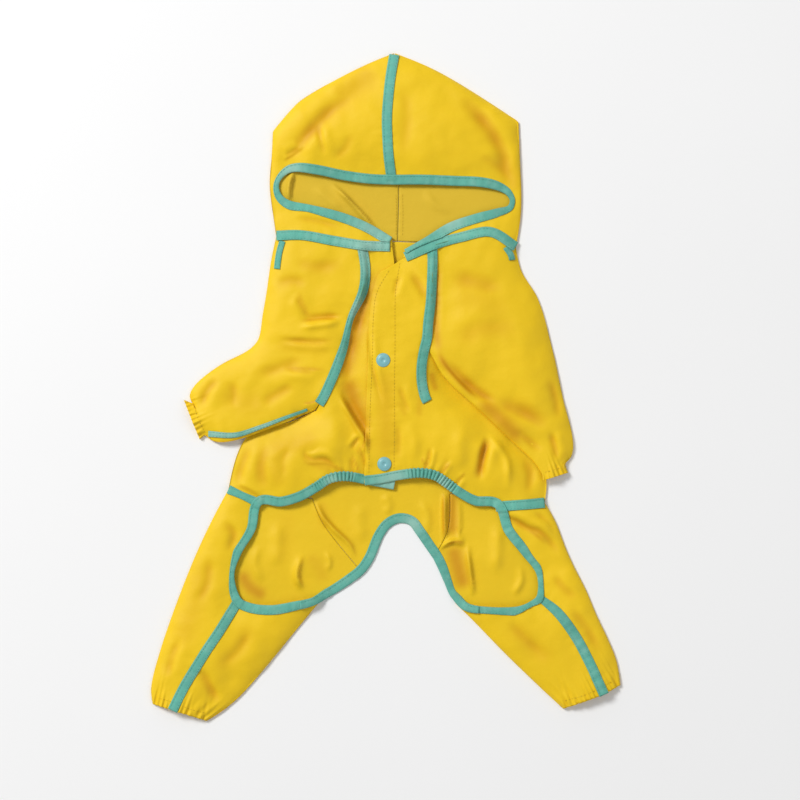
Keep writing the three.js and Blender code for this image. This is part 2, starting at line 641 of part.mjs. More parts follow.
// What each side fold of the body turns towards, under the coat.
const UNDER_BODY = {
  left: (row) => straight(flat([-45, -98]), LEG_BACK.left(0))(smoothStep(LEFT_ARMPIT, 10, row)),
  right: (row) => straight(flat([-40, -20]), LEG_BACK.right(0))(smoothStep(RIGHT_ARMPIT, 10, row)),
};

function belly(side, top, bottom, height, columns) {
  const armpit = ARMPIT_ROW[side];
  const fold = BELLY_SIDE[side];
  const front = BELLY_FRONT[side];
  const edge = (row) => (row < armpit ? spaced(fold, front)(row) : fold(row));
  const rows = cutRows(BELLY_ROWS, true, true);
  const turn = foldTurn(fold, UNDER_BODY[side], height, floorHeight);
  const cloth = new Cloth(side === "right");
  cloth.sheet(rows.filter((row) => row >= armpit), TURN_COLUMNS, reversed(turn));
  cloth.sheet(rows, columns, raised(coons(edge, front, lastOf(BELLY_ROWS), top, bottom), height));
  addPiece(`belly_${side}`, cloth.wall(CLOTH), YELLOW);
}

function leg(side) {
  const last = lastOf(LEG_ROWS);
  const outer = LEG_OUTER[side];
  const front = LEG_FRONT[side];
  const fold = LEG_BACK[side];
  const rows = cutRows(LEG_ROWS, true, false);
  const below = rows.filter((row) => row >= CROTCH);
  const outerTurn = foldTurn(outer, fold, upper, floorHeight);
  const innerTurn = foldTurn(fold, outer, upper, floorHeight);
  const outerEdge = (row) => (row < CROTCH ? front(row) : spaced(front, outer)(row));
  const innerEdge = spaced(front, fold);
  const back = (row) => {
    if (row >= CROTCH) return insetOf(innerTurn)(row);
    return row <= BACK_SEAM_END ? spaced(fold, outer)(row) : fold(row);
  };
  // The inner part of the upper layer, from the inner fold to the taped seam, bowed at the leg's mouth
  const inner = (share, row) => {
    const bow = LEG_MOUTH[side](share).sub(fold(CROTCH).lerp(front(CROTCH), share));
    const bowed = (1 - (row - CROTCH) / (last - CROTCH)) ** 3;
    return fold(row).clone().lerp(innerEdge(row), share).addScaledVector(bow, bowed);
  };
  const crest = (edge) => gathered(upper, last - 1, last - 0.3, front(last), edge(last));
  const nearCuff = (row) => row > last - 0.6;
  const cloth = new Cloth(side === "left");
  const outerPart = raised(ruled(outerEdge, outer), crest(outer), crowdEnd);
  cloth.sheet(rows, (row) => (nearCuff(row) ? 10 : 5), outerPart);
  cloth.sheet(rows, TURN_COLUMNS, outerTurn);
  cloth.sheet(rows, 6, raised(ruled(insetOf(outerTurn), back), floorHeight));
  cloth.sheet(below, TURN_COLUMNS, reversed(innerTurn));
  const innerColumns = (row) => (nearCuff(row) || row === CROTCH ? 16 : 7);
  cloth.sheet(below, innerColumns, raised(inner, crest(fold), crowdStart));
  addPiece(`leg_${side}`, cloth.wall(CLOTH), YELLOW);
}

const ARCH_COLUMNS = 16;

function backPanel() {
  const rows = cutRows(BELLY_ROWS, true, true);
  const waist = lastOf(rows);
  const leftSeam = column(BACK, "leftSeam");
  const rightSeam = column(BACK, "rightSeam");
  const edges = onSides((side) => {
    const turn = foldTurn(BELLY_SIDE[side], UNDER_BODY[side], floorHeight, floorHeight, TURN_RADIUS + 1);
    const seam = side === "left" ? leftSeam : rightSeam;
    const raglan = spaced(column(BACK, side), seam, SEAM_GAP);
    return (row) => (row < ARMPIT_ROW[side] ? raglan(row) : insetOf(turn)(row));
  });
  const stripLeft = (row) => (row === 0 ? leftSeam(waist) : spaced(LEG_BACK.left, LEG_BACK.right)(row));
  const stripRight = (row) => (row === 0 ? rightSeam(waist) : spaced(LEG_BACK.right, LEG_BACK.left)(row));
  const tailLine = straight(LEG_BACK.left(BACK_SEAM_END), LEG_BACK.right(BACK_SEAM_END));
  const strip = (share, row) => {
    const bow = TAIL(share).clone().sub(tailLine(share));
    return stripLeft(row).clone().lerp(stripRight(row), share).addScaledVector(bow, row / BACK_SEAM_END);
  };
  const cloth = new Cloth();
  cloth.sheet(rows, 1, raised(ruled(edges.left, leftSeam), floorHeight));
  cloth.sheet(rows, (row) => (row === waist ? 6 : 2), raised(ruled(leftSeam, rightSeam), floorHeight));
  cloth.sheet(rows, 1, raised(ruled(rightSeam, edges.right), floorHeight));
  cloth.sheet(rowsOf(0, BACK_SEAM_END), (row) => (row > 2 ? ARCH_COLUMNS : 6), raised(strip, floorHeight));
  addPiece("back_panel", cloth.wall(CLOTH), YELLOW);
}

SIDES.forEach(hood);
backPanel();
SIDES.forEach(sleeve);
belly("left", stretch(HOOD_RIM.left, 1, 0), chain([0.22, WAIST.left], [0.78, HEM.left]), leftFront, 11);
const placketSlant = between(flat(PLACKET_TOP), [[5, 108.5]], BELLY_FRONT.right(0));
const rightNeck = chain([0.55, stretch(HOOD_RIM.right, 1, 0)], [0.45, placketSlant]);
belly("right", rightNeck, chain([0.25, WAIST.right], [0.75, HEM.right]), upper, 12);
SIDES.forEach(leg);

// Heights on the panels, from above: the highest of a few points close together, so that seams are bridged.
const panels = [...coat.children];
const caster = new THREE.Raycaster();
const PROBE = 0.6;

function surface(x, y, on = panels) {
  const heights = [[0, 0], [PROBE, 0], [-PROBE, 0], [0, PROBE], [0, -PROBE]].map(([dx, dy]) => {
    caster.set(new THREE.Vector3(x + dx, y + dy, 100), new THREE.Vector3(0, 0, -1));
    return caster.intersectObjects(on, false)[0]?.point.z ?? 0;
  });
  return Math.max(...heights);
}

// Sections of a tape. Each stop has its distance to the left of the path, its drop, and where the panel
// is read.
const HALF = TAPE_WIDTH / 2;
const OVER_SEAM = [
  { off: HALF, drop: 0, read: HALF },
  { off: 0, drop: 0, read: 0 },
  { off: -HALF, drop: 0, read: -HALF },
];
const ROUND_EDGE = [
  { off: TAPE_WIDTH - 1.5, drop: 0, read: TAPE_WIDTH - 1.5 },
  { off: HALF - 0.7, drop: 0, read: HALF - 0.7 },
  { off: -1, drop: 0, read: 0.9 },
  { off: -1, drop: 1.7, read: 0.9 },
];
const TO_THE_RIGHT = ROUND_EDGE.map(({ off, drop, read }) => ({ off: -off, drop, read: -read })).reverse();

// A tape can be read off one panel only, and is narrower where it has to keep off something.
function tape(name, path, count, options = {}) {
  const { section = OVER_SEAM, lift = TAPE_LIFT, on = panels, width = () => 1, keepOff = [] } = options;
  const reach = TAPE_WIDTH - 1.5;
  const place = (share, station) => {
    const point = path(station);
    const before = path(Math.max(0, station - 0.01));
    const along = path(Math.min(1, station + 0.01)).clone().sub(before).normalize();
    const aside = new THREE.Vector3(-along.y, along.x, 0);
    const room = Math.min(reach, ...keepOff.map(([line, gap]) => distanceTo(line, point.x, point.y) - gap));
    const narrow = Math.max(0.18, Math.min(width(station), room / reach));
    const { off, drop, read } = section[Math.round(share * (section.length - 1))];
    const scale = Math.abs(off) > 1.5 ? narrow : 1;
    const foot = point.clone().addScaledVector(aside, read * scale);
    const height = surface(foot.x, foot.y, on) + lift + TAPE_THICKNESS / 2 - drop;
    return point.clone().addScaledVector(aside, off * scale).setZ(Math.max(height, 0.15));
  };
  const stations = Array.from({ length: count + 1 }, (_, k) => k / count);
  addPiece(name, new Cloth().sheet(stations, section.length - 1, place).wall(TAPE_THICKNESS), TEAL);
}

// Tapes keep clear of each other at their ends.
function cutShort(path, startGap, endGap, samples = 40) {
  let long = 0;
  for (let k = 1; k <= samples; k += 1) long += path(k / samples).distanceTo(path((k - 1) / samples));
  return stretch(path, startGap / long, 1 - endGap / long);
}

const panelNamed = (name) => panels.filter((mesh) => mesh.name === name);
const boundOnLeft = { section: ROUND_EDGE };
const boundOnRight = { section: TO_THE_RIGHT };
const centreSeam = (share) => straight(flat([8, 299.2]), flat([6, 183]))(share).add(centreBow(share, 12));
tape("hood_centre_tape", cutShort(centreSeam, 6, 8), 12);
const faceLoop = chain([0.5, stretch(HOOD_FACE.left, 0, 12)], [0.5, stretch(HOOD_FACE.right, 12, 0)]);
const besideFace = [
  ...SIDES.map((side) => [cutLine(HOOD_RIM[side], HOOD_ROWS, 0, NECK_END), HALF + 0.9]),
  ...SIDES.map((side) => [cutLine(HOOD_RIM[side], HOOD_ROWS, NECK_END), 2.4]),
];
tape("face_tape", cutShort(faceLoop, 1, 1), 46, { ...boundOnLeft, keepOff: besideFace, lift: 1.1 });
SIDES.forEach((side) => {
  tape(`neck_tape_${side}`, cutShort(stretch(HOOD_RIM[side], 0, NECK_END), 8, 10), 12);
  tape(`shoulder_tape_${side}`, (share) => spline(SHOULDERS[side]).getPoint(share), 3, { width: () => 0.55 });
  tape(`waist_tape_${side}`, cutShort(WAIST[side], 5, 3), 4, { lift: 0.6 });
  tape(`leg_tape_${side}`, cutShort(stretch(LEG_FRONT[side], CROTCH, 8), 10, 3), 12);
});
tape("raglan_tape_left", cutShort(stretch(SLEEVE_FRONT.left, 0, LEFT_ARMPIT), 8, 9), 18, { lift: 0.7 });
const raglanTail = between(SLEEVE_FRONT.right(RIGHT_ARMPIT - 0.3), RAGLAN_TAIL_RIGHT, flat([38, -14]));
const raglanRight = chain([0.6, stretch(SLEEVE_FRONT.right, 0, RIGHT_ARMPIT - 0.3)], [0.4, raglanTail]);
tape("raglan_tape_right", cutShort(raglanRight, 8, 2), 18, { lift: 0.7 });
tape("underarm_tape_left", (share) => spline(UNDERARM_LEFT).getPoint(share), 10);
const underPlacket = (share) => 1 - 0.78 * smoothStep(0.78, 0.82, share);
const onLeftFront = { on: panelNamed("belly_left"), width: underPlacket, lift: 0.55 };
tape("hem_tape_left", cutShort(HEM.left, 7, 1), 18, { ...boundOnLeft, ...onLeftFront });
tape("hem_tape_right", cutShort(HEM.right, 7, 1), 18, boundOnRight);
tape("opening_tape_left", cutShort(stretch(LEG_FRONT.left, 0, CROTCH), 9, 6), 12, boundOnRight);
tape("opening_tape_right", cutShort(stretch(LEG_FRONT.right, 0, CROTCH), 9, 6), 12, boundOnLeft);
const nearFold = (side) => ({ lift: 0.6, keepOff: [[cutLine(LEG_BACK[side], LEG_ROWS, CROTCH), 2.4]] });
tape("loop_tape_left", cutShort(LEG_MOUTH.left, 4, 2), 12, { ...boundOnLeft, ...nearFold("left") });
tape("loop_tape_right", cutShort(LEG_MOUTH.right, 4, 2), 12, { ...boundOnRight, ...nearFold("right") });
const crotchEdge = (side) => cutShort(stretch(LEG_BACK[side], BACK_SEAM_END, CROTCH), 5, 5);
tape("crotch_tape_left", crotchEdge("left"), 5, boundOnRight);
tape("crotch_tape_right", crotchEdge("right"), 5, boundOnLeft);
tape("arch_tape", TAIL, ARCH_COLUMNS, boundOnLeft);

// Snap caps: low domes that stand on the placket.
function snapCap() {
  const profile = [[0, 0], [SNAP_RADIUS - 0.5, 0], [SNAP_RADIUS, 0.6], [SNAP_RADIUS - 0.9, 1.5]];
  const crown = [[SNAP_RADIUS * 0.5, SNAP_HEIGHT - 0.1], [0, SNAP_HEIGHT]];
  const outline = [...profile, ...crown].map(([radius, height]) => new THREE.Vector2(radius, height));
  const geometry = new THREE.LatheGeometry(outline, 24);
  return mergeVertices(geometry.deleteAttribute("uv").deleteAttribute("normal").rotateX(Math.PI / 2), 1e-4);
}

for (const [name, [x, y]] of Object.entries(SNAPS)) {
  const rim = Array.from({ length: 12 }, (_, k) => {
    const angle = (k * Math.PI) / 6;
    return surface(x + SNAP_RADIUS * Math.cos(angle), y + SNAP_RADIUS * Math.sin(angle));
  });
  addPiece(name, snapCap().translate(x, y, Math.max(surface(x, y), ...rim) + SEAM_GAP), SNAP_BLUE);
}

export default coat;
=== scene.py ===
"""Looks of a hooded raincoat for a small dog, laid out flat with its belly side up.

Plan sizes in this file are millimetres in the part's frame; meshes are made in metres.
"""

import math
from collections import deque

import bmesh
import bpy
import numpy as np
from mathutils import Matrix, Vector, noise
from mathutils.bvhtree import BVHTree


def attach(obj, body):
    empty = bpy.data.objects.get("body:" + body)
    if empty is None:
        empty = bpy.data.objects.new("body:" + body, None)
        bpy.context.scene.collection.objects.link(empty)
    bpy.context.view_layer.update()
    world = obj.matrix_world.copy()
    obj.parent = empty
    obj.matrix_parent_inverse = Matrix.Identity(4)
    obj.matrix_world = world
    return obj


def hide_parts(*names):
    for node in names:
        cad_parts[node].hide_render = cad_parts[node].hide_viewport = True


bl_info = {
    "name": "Dog raincoat looks",
    "version": (1, 0, 0),
    "blender": (4, 5, 0),
    "location": "3D View > Sidebar > Raincoat",
    "description": "Dresses the packed dog raincoat with folds, bindings, stitches and snaps",
    "category": "Object",
}

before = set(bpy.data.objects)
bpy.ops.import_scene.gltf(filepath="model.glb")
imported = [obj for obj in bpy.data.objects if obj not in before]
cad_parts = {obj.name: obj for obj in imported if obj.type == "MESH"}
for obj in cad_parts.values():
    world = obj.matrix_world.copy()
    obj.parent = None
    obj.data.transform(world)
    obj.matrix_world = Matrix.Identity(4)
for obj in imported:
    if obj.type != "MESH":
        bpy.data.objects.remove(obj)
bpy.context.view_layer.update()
MM = 0.001
UP = Vector((0, 0, 1))
SIDES = ("left", "right")

# Outlines and seams that the bindings follow, from the part's plan
HOOD_FACE = {
    "left": [(6, 133), (-14, 145), (-38, 155), (-66, 162), (-88, 167), (-95, 173), (-97, 181), (-94, 188),
             (-85, 194), (-62, 192), (-38, 187), (-16, 184), (6, 183)],
    "right": [(17, 122), (36, 133), (57, 146), (80, 154), (100, 159), (111, 162), (113, 168), (109, 174),
              (100, 178), (84, 181), (60, 182), (33, 183), (6, 183)],
}
HOOD_NECK = {
    "left": [(6, 126), (-21, 127), (-46, 131), (-74, 136), (-98, 136)],
    "right": [(16, 116), (42, 127), (66, 134), (94, 139), (117, 126)],
}
HOOD_CENTRE = [(8, 299.2), (3.6, 270), (1.5, 241), (2.6, 212), (6, 183)]
HOOD_BACK_SEAM = [(11, 131.3), (12, 183), (10, 240), (8, 292)]
RAGLAN = {
    "left": [(-21, 127), (-18, 104), (-20, 86), (-31, 62), (-38, 34), (-54, -6), (-63.4, -21.1)],
    "right": [(42, 127), (42, 104), (41, 80), (38.5, 58), (37.2, 44), (34.5, 33), (32.5, 18), (33, 2),
              (35.5, -9), (38, -14)],
}
SHOULDERS = {
    "left": [(-92.5, 131), (-95.5, 120), (-97.5, 106)],
    "right": [(108, 125.5), (113, 118), (114.5, 107)],
}
UNDERARM = [(-70, -20.5), (-91, -28), (-112, -36), (-134, -43), (-159, -42)]
WAIST = {"left": [(-141, -92), (-112, -105)], "right": [(143, -104), (99, -107.5)]}
HEM = {
    "left": [(-112, -105), (-94, -106), (-76, -101), (-60, -92), (-49, -85), (-36, -83), (-16, -86.5),
             (8, -91)],
    "right": [(99, -107.5), (80, -105), (65, -97), (52.5, -88), (43, -82), (31, -80), (13, -82),
              (-5, -85.5), (-19, -87)],
}
OPENING = {
    "left": [(-112, -105), (-118, -128), (-131, -150), (-137, -169), (-131, -190)],
    "right": [(99, -107.5), (108, -130), (123, -149), (137, -168), (137, -188)],
}
LEG_SEAM = {
    "left": [(-131, -190), (-147, -216), (-164, -242), (-180, -268), (-191, -290)],
    "right": [(137, -188), (155, -203), (170, -223), (184, -249), (196, -276)],
}
LOOP = {
    "left": [(-131, -190), (-122, -195), (-102, -197), (-77, -193), (-62, -191.5), (-50, -187)],
    "right": [(137, -188), (131, -193.5), (120, -198), (103, -199), (84, -198), (70, -196), (60, -188)],
}
TAIL = [(-77, -193), (-62, -191.5), (-50, -187), (-30, -174.5), (-20, -166.5), (-12, -155), (-3, -134),
        (4, -125), (13, -121), (22, -123), (29, -132), (37, -143.5), (45, -155.5), (54, -175), (60, -188),
        (70, -196), (84, -198)]
CUFFS = {
    "sleeve_left": [(-167, -47), (-175, -30), (-181, -12)],
    "sleeve_right": [(141, -84), (153, -81), (164, -77)],
    "leg_left": [(-161, -300), (-176, -296), (-191, -290), (-209, -285)],
    "leg_right": [(160, -289), (180, -283), (196, -276), (211, -268)],
}
PLACKET_ROW = [(13, 112), (9, 86), (8.5, 40), (8, 0), (8, -40), (7.5, -77)]
PLACKET_EDGE_ROW = [(3.5, 105), (-8, 84), (-11, 60), (-11.5, 35), (-12.5, 10), (-13.5, -12), (-14.5, -45),
                    (-15, -79)]
SNAPS = {"snap_upper": (-2, 24), "snap_lower": (-1, -69)}

# Creases: the line, the half width, the height (a trough is below zero), and the share of a lip beside it,
# on its left (above zero) or right
BODY_CREASES = [
    ([(-22, 266), (-50, 247), (-71, 225), (-89, 203)], 6, -1.5, 0.25),
    ([(-60, 236), (-58, 222), (-54, 207)], 3, -1.0, 0.6),
    ([(-90, 207), (-83, 211), (-76, 214)], 2.5, -0.8, 0.6),
    ([(-47, 205), (-36, 214), (-31, 228)], 4, -0.6, 0.4),
    ([(66, 262), (97, 226), (110, 194), (115, 172)], 6, -1.6, 0.25),
    ([(84, 208), (104, 196), (112, 186)], 4, -0.6, 0.5),
    ([(16, 272), (20, 240), (15, 205)], 5, -0.5, 0.3),
    ([(-83, 152), (-60, 149), (-40, 143)], 3, -0.7, 0.4),
    ([(-8, 114), (-14, 96), (-22, 66), (-30, 38), (-35, 8), (-30, -8)], 6.5, -2.4, 0.2),
    ([(-14, 60), (-13, 28), (-7, 0), (-2, -20)], 2.2, -0.8, 0.7),
    ([(21, 104), (30, 92), (38, 76)], 4, -0.9, 0.4),
    ([(14, 100), (10, 92), (8, 80)], 2.5, -0.7, 0.5),
    ([(12, 2), (16, -10), (21, -24)], 3, -0.8, 0.5),
    ([(10, -30), (12, -46), (11, -66)], 3, -0.8, 0.4),
    ([(20, -30), (26, -50), (25, -74)], 5, 1.2, 0),
    ([(-44, -3), (-36, -18), (-25, -37), (-19, -47), (-17, -60)], 2.6, 1.9, 0),
    ([(-38, -2), (-30, -18), (-20, -34), (-15, -46)], 4.5, -2.0, 0),
    ([(-31, -56), (-27, -50), (-22, -44)], 1.6, -0.9, 0.7),
    ([(-70, -54), (-72, -61), (-66, -65), (-54, -65), (-41, -74)], 2.6, -1.5, 0.6),
    ([(-84, -52), (-92, -66), (-90, -84)], 4, -0.8, 0.5),
    ([(-104, -50), (-112, -70), (-108, -92)], 6, -1.2, 0.4),
    ([(-122, -52), (-130, -74), (-134, -90)], 4, -0.8, 0.4),
    ([(-24, -54), (-20, -62), (-17, -74)], 1.6, -0.9, 0.7),
    ([(-31, -62), (-29, -72), (-27, -81)], 1.8, -1.0, 0.8),
    ([(40, -54), (39, -64), (36, -76)], 1.8, -1.2, 0.8),
    ([(57, -65), (52, -73), (47, -82)], 1.8, -1.1, 0.8),
    ([(68, -80), (64, -86), (60, -93)], 1.8, -1.0, 0.8),
    ([(93, -44), (88, -60), (83, -84)], 3.6, -2.6, 0.5),
    ([(91, -42), (102, -54), (109, -66), (110, -94)], 3.0, 1.8, 0),
    ([(124, -62), (130, -76), (128, -96)], 4, -1.0, 0.4),
    ([(72, -30), (66, -52), (68, -72)], 6, 1.2, 0),
    ([(106, -113), (126, -125), (140, -131), (157, -150)], 3.2, -1.7, 0.5),
    ([(132, -112), (146, -122), (154, -134)], 3.0, -0.8, 0.5),
    ([(-146, -120), (-136, -132), (-142, -150)], 4, -0.9, 0.5),
    ([(-158, -150), (-160, -176), (-172, -200)], 5, -0.9, 0.4),
    ([(-166, -252), (-158, -268), (-150, -284)], 4, -1.2, 0.4),
    ([(-120, -214), (-132, -236), (-150, -252)], 5, -0.9, 0.4),
    ([(-184, -224), (-192, -244), (-196, -262)], 4, -0.9, 0.4),
    ([(110, -210), (126, -226), (148, -246)], 5, -1.0, 0.4),
    ([(164, -196), (180, -216), (194, -240)], 4.5, -0.9, 0.4),
    ([(150, -168), (160, -180), (172, -190)], 4, -0.8, 0.4),
]
SLEEVE_CREASES = [
    ([(-80, 82), (-74, 70), (-67, 61)], 2.6, -1.2, -0.5),
    ([(-78, 53), (-60, 55), (-40, 58)], 2.6, 1.5, 0.3),
    ([(-72, 62), (-56, 63), (-38, 64)], 2.4, -1.0, 0),
    ([(-96, 43), (-70, 41), (-44, 41)], 2.4, -1.3, -0.7),
    ([(-92, 16), (-76, 14), (-62, 13)], 2.8, -0.9, -0.6),
    ([(-119, 10), (-98, 16), (-72, 26)], 5, -0.8, -0.4),
    ([(-138, 6), (-136, -6), (-138, -20)], 4.5, -0.9, 0.4),
    ([(-80, 4), (-96, -6), (-112, -16)], 5, -0.9, 0.4),
    ([(-150, 8), (-160, -4), (-166, -18)], 4, -1.0, 0.4),
    ([(-86, 112), (-60, 108), (-36, 112)], 6, -0.8, 0.3),
    ([(-100, 92), (-84, 96), (-70, 92)], 5, -0.8, 0.3),
    ([(48, 119), (46, 96), (45, 70), (44, 44), (46, 28)], 3.6, -2.0, 0),
    ([(56, 100), (80, 94), (108, 86)], 8, -1.0, 0.2),
    ([(60, 40), (84, 52), (120, 54)], 9, -0.7, 0.3),
    ([(52, 24), (72, 4), (88, -8), (104, -16)], 4.5, -1.9, -0.5),
    ([(96, -14), (122, -22), (146, -36)], 7, -1.4, -0.3),
    ([(112, -38), (126, -46), (140, -58)], 4, -1.2, 0.3),
    ([(146, 10), (152, -8), (156, -30)], 4, -0.9, 0.3),
    ([(148, -40), (152, -54), (154, -66)], 3, -1.1, 0.6),
]
FLOOR_CREASES = [
    ([(-49, 184), (-30, 165), (-4, 137)], 1.7, 2.4, 0),
    ([(-82, 196), (-87, 180), (-87, 166)], 1.8, 2.0, 0),
    ([(-66, 180), (-50, 168), (-38, 158)], 4, 0.8, 0),
    ([(34, 178), (44, 164), (60, 156)], 4, 0.9, 0),
    ([(-64, -100), (-57, -115), (-46, -128), (-32, -140), (-27, -151)], 2.6, 2.0, 0),
    ([(-75, -153), (-80, -170), (-75, -184)], 3.2, 1.7, 0),
    ([(-53, -148), (-50, -158), (-53, -166)], 2.2, 1.2, 0),
    ([(-97, -118), (-97, -140), (-99, -162)], 6, 1.3, 0),
    ([(-112, -140), (-118, -158), (-110, -176)], 4, 1.2, 0),
    ([(-20, -104), (-24, -122), (-18, -140)], 6, 1.0, 0),
    ([(-2, -96), (3, -106), (0, -116)], 4, 0.9, 0),
    ([(52.5, -93), (52.5, -116), (53, -141)], 2.0, 3.0, 0),
    ([(66, -100), (66.5, -118), (66, -138)], 1.8, 1.6, 0),
    ([(48, -146), (58, -139), (72, -142)], 2.0, 2.2, 0),
    ([(74, -140), (76, -164), (80, -188)], 2.4, 2.0, 0),
    ([(100, -120), (101, -146), (98, -170)], 5, 1.5, 0),
    ([(120, -160), (122, -174), (114, -188)], 3, 1.3, 0),
    ([(30, -100), (38, -116), (36, -134)], 4, 1.0, 0),
    ([(-60, 100), (0, 84), (48, 96)], 5, 0.8, 0),
    ([(-40, 40), (-6, 20), (30, 34)], 6, 0.8, 0),
    ([(-30, -10), (4, -40), (20, -80)], 5, 0.9, 0),
    ([(-56, 250), (-30, 222), (-40, 196)], 6, 0.8, 0),
    ([(60, 246), (44, 220), (70, 198)], 6, 0.8, 0),
    ([(-170, -210), (-150, -230), (-160, -262)], 5, 0.9, 0),
    ([(160, -206), (150, -232), (172, -256)], 5, 0.9, 0),
    ([(-120, 0), (-100, 12), (-84, 40)], 5, 0.8, 0),
    ([(90, 30), (118, 20), (134, -10)], 5, 0.8, 0),
]
# Tucks: the line of the ridge, its width and height, and how dark the painted shade is where it drops, on its
# right side
TUCKS = {
    "body": [
        ([(82, -84), (84.5, -64), (88, -43)], 7, 2.3, 1.0),
        ([(-17, -62), (-19, -47), (-25, -36), (-35, -19), (-44, -3)], 8, 2.6, 0.8),
        ([(-73, -58), (-69, -66), (-53, -67), (-31, -76)], 6, 1.6, 0.6),
        ([(102, -110), (114, -116), (130, -126), (150, -142)], 6, 1.8, 0.7),
        ([(-93, 204), (-84, 209), (-72, 217)], 4, 1.2, 0.6),
        ([(-134, -86), (-122, -91), (-110, -98)], 5, 1.2, 0.5),
        ([(33, -62), (36, -70), (37, -78)], 2.6, 1.1, 0.8),
        ([(47, -82), (52, -74), (58, -67)], 2.6, 1.3, 0.9),
        ([(63, -88), (67, -81), (71, -76)], 2.4, 1.0, 0.7),
        ([(-25, -80), (-27, -70), (-32, -60)], 2.6, 1.1, 0.7),
        ([(-36, -80), (-41, -74), (-48, -70)], 2.4, 1.0, 0.6),
        ([(-16, -44), (-20, -54), (-27, -62)], 2.4, 1.1, 0.7),
    ],
    "sleeve": [
        ([(-40, 60), (-58, 59.5), (-78, 57)], 5, 1.5, 0.8),
        ([(-52, 13.5), (-72, 14.5), (-97, 16)], 5, 1.2, 0.6),
        ([(-70, 64), (-75, 73), (-80, 85)], 5, 1.1, 0.4),
        ([(-96, 45), (-72, 41.5), (-44, 41)], 6, 1.0, 0.35),
        ([(-60, -13), (-66, -15), (-74, -16)], 3, 1.0, 0.9),
        ([(85, -12), (74, -4), (63, 7), (52, 20), (45, 32)], 5, 1.5, 0.9),
    ],
    "floor": [
        ([(-26, -156), (-32, -142), (-46, -128), (-57, -115), (-63, -101)], 4, 2.2, 0.6),
        ([(-74, -182), (-79, -168), (-74, -150)], 4, 2.0, 0.5),
        ([(53.5, -92), (53.5, -116), (54, -140)], 4, 3.0, 1.0),
        ([(54, -141), (62, -137.5), (72, -139)], 4, 2.2, 0.9),
        ([(80, -190), (76, -164), (73, -142)], 4, 2.0, 0.0),
        ([(-4, 137), (-30, 165), (-51, 185)], 3.4, 2.6, 0.9),
        ([(-85, 167), (-86, 180), (-82, 195)], 3.4, 2.2, 0.9),
    ],
}
# Painted shade on doubled cloth and in shaded places: the line, the half width and the depth
PAINTED_SHADES = {
    "body": [
        ([(-10, 112), (-14, 92), (-20, 68), (-26, 44), (-32, 20), (-33, 0)], 6, 0.72),
        ([(-36, 12), (-30, -6), (-24, -24), (-18, -42)], 7.5, 0.95),
        ([(41, 14), (43, 4), (46, -4)], 3.2, 0.7),
        ([(0, 22), (0, -12), (1, -44), (1, -74)], 9, 0.32),
        ([(-58, -44), (-84, -52), (-108, -58)], 9, 0.25),
        ([(-8, 286), (-24, 272), (-46, 256)], 11, 0.32),
        ([(-160, -150), (-172, -196), (-188, -240)], 11, 0.22),
        ([(89, -50), (87, -64), (84, -80)], 3.0, 0.9),
        ([(-70, -64), (-60, -70), (-46, -75)], 4, 0.35),
        ([(104, 212), (112, 192), (116, 174)], 7, 0.3),
        ([(-24, 262), (-52, 244), (-74, 222)], 8, 0.22),
        ([(33, -2), (31, -14), (30, -28)], 3, 0.35),
        ([(11, -12), (15, -20), (19, -26)], 3, 0.3),
        ([(-88, -50), (-98, -70), (-94, -92)], 8, 0.2),
        ([(-120, -212), (-134, -236), (-152, -254)], 7, 0.25),
        ([(112, -212), (128, -228), (150, -248)], 7, 0.25),
    ],
    "sleeve": [
        ([(47, 112), (46, 92), (45, 68), (46, 44), (50, 26)], 3.4, 0.8),
        ([(46, 34), (52, 22), (63, 9), (74, -2), (85, -11)], 2.8, 1.0),
        ([(82, -9), (98, -24), (112, -38), (124, -53)], 8, 0.85),
        ([(-100, 40), (-72, 36), (-46, 34)], 7, 0.2),
        ([(-150, -4), (-130, -12), (-106, -14)], 9, 0.2),
        ([(60, 84), (86, 78), (112, 62)], 12, 0.15),
    ],
    "floor": [
        ([(59.5, -92), (60, -112), (60, -136)], 5, 0.95),
        ([(60, -140), (64, -158), (72, -184)], 8, 1.0),
        ([(-131, -164), (-123, -179), (-106, -190)], 6, 0.95),
        ([(-88, -108), (-90, -134), (-93, -160)], 8, 0.12),
        ([(-60, -102), (-56, -116), (-50, -128)], 5, 0.35),
        ([(-70, -150), (-60, -162), (-54, -176)], 6, 0.25),
        ([(-40, 176), (-24, 160), (-8, 150)], 8, 0.2),
    ],
}
# The part of a line that is gathered or puckered, as shares of its length
WHOLE = (0, 1)
NEARLY_WHOLE = (0.02, 0.98)
# Gathers: the line of the elastic, its gathered part, the wave's length and height, and the reach
GATHERS = [
    (HEM["left"], (0.42, 0.70), 5.2, 0.75, 13),
    (HEM["right"], (0.34, 0.68), 5.0, 0.8, 14),
    (CUFFS["sleeve_left"], WHOLE, 4.4, 0.8, 15),
    (CUFFS["sleeve_right"], WHOLE, 4.2, 0.8, 17),
    (CUFFS["leg_left"], WHOLE, 4.6, 0.85, 17),
    (CUFFS["leg_right"], WHOLE, 4.6, 0.85, 17),
]
# Puckers beside a seam: the wave's length, which grows by up to three millimetres, and the reach
PUCKER_WAVE, PUCKER_REACH = 8.5, 8
# Puckers of the placket's rows: the line, the wave's length, the share of the puckers' height, and the reach
PLACKET_PUCKERS = [(PLACKET_ROW, 7.5, 0.6, 5), (PLACKET_EDGE_ROW, 8, 0.5, 4)]
# Waves of the under layers, as for the gathers, and the same numbers for every cuff
FLOOR_WAVES = [(TAIL, NEARLY_WHOLE, 7, 0.2, 8), (HOOD_BACK_SEAM, NEARLY_WHOLE, 8, 0.2, 8)]
CUFF_FLOOR_WAVES = (4.5, 0.5, 14)
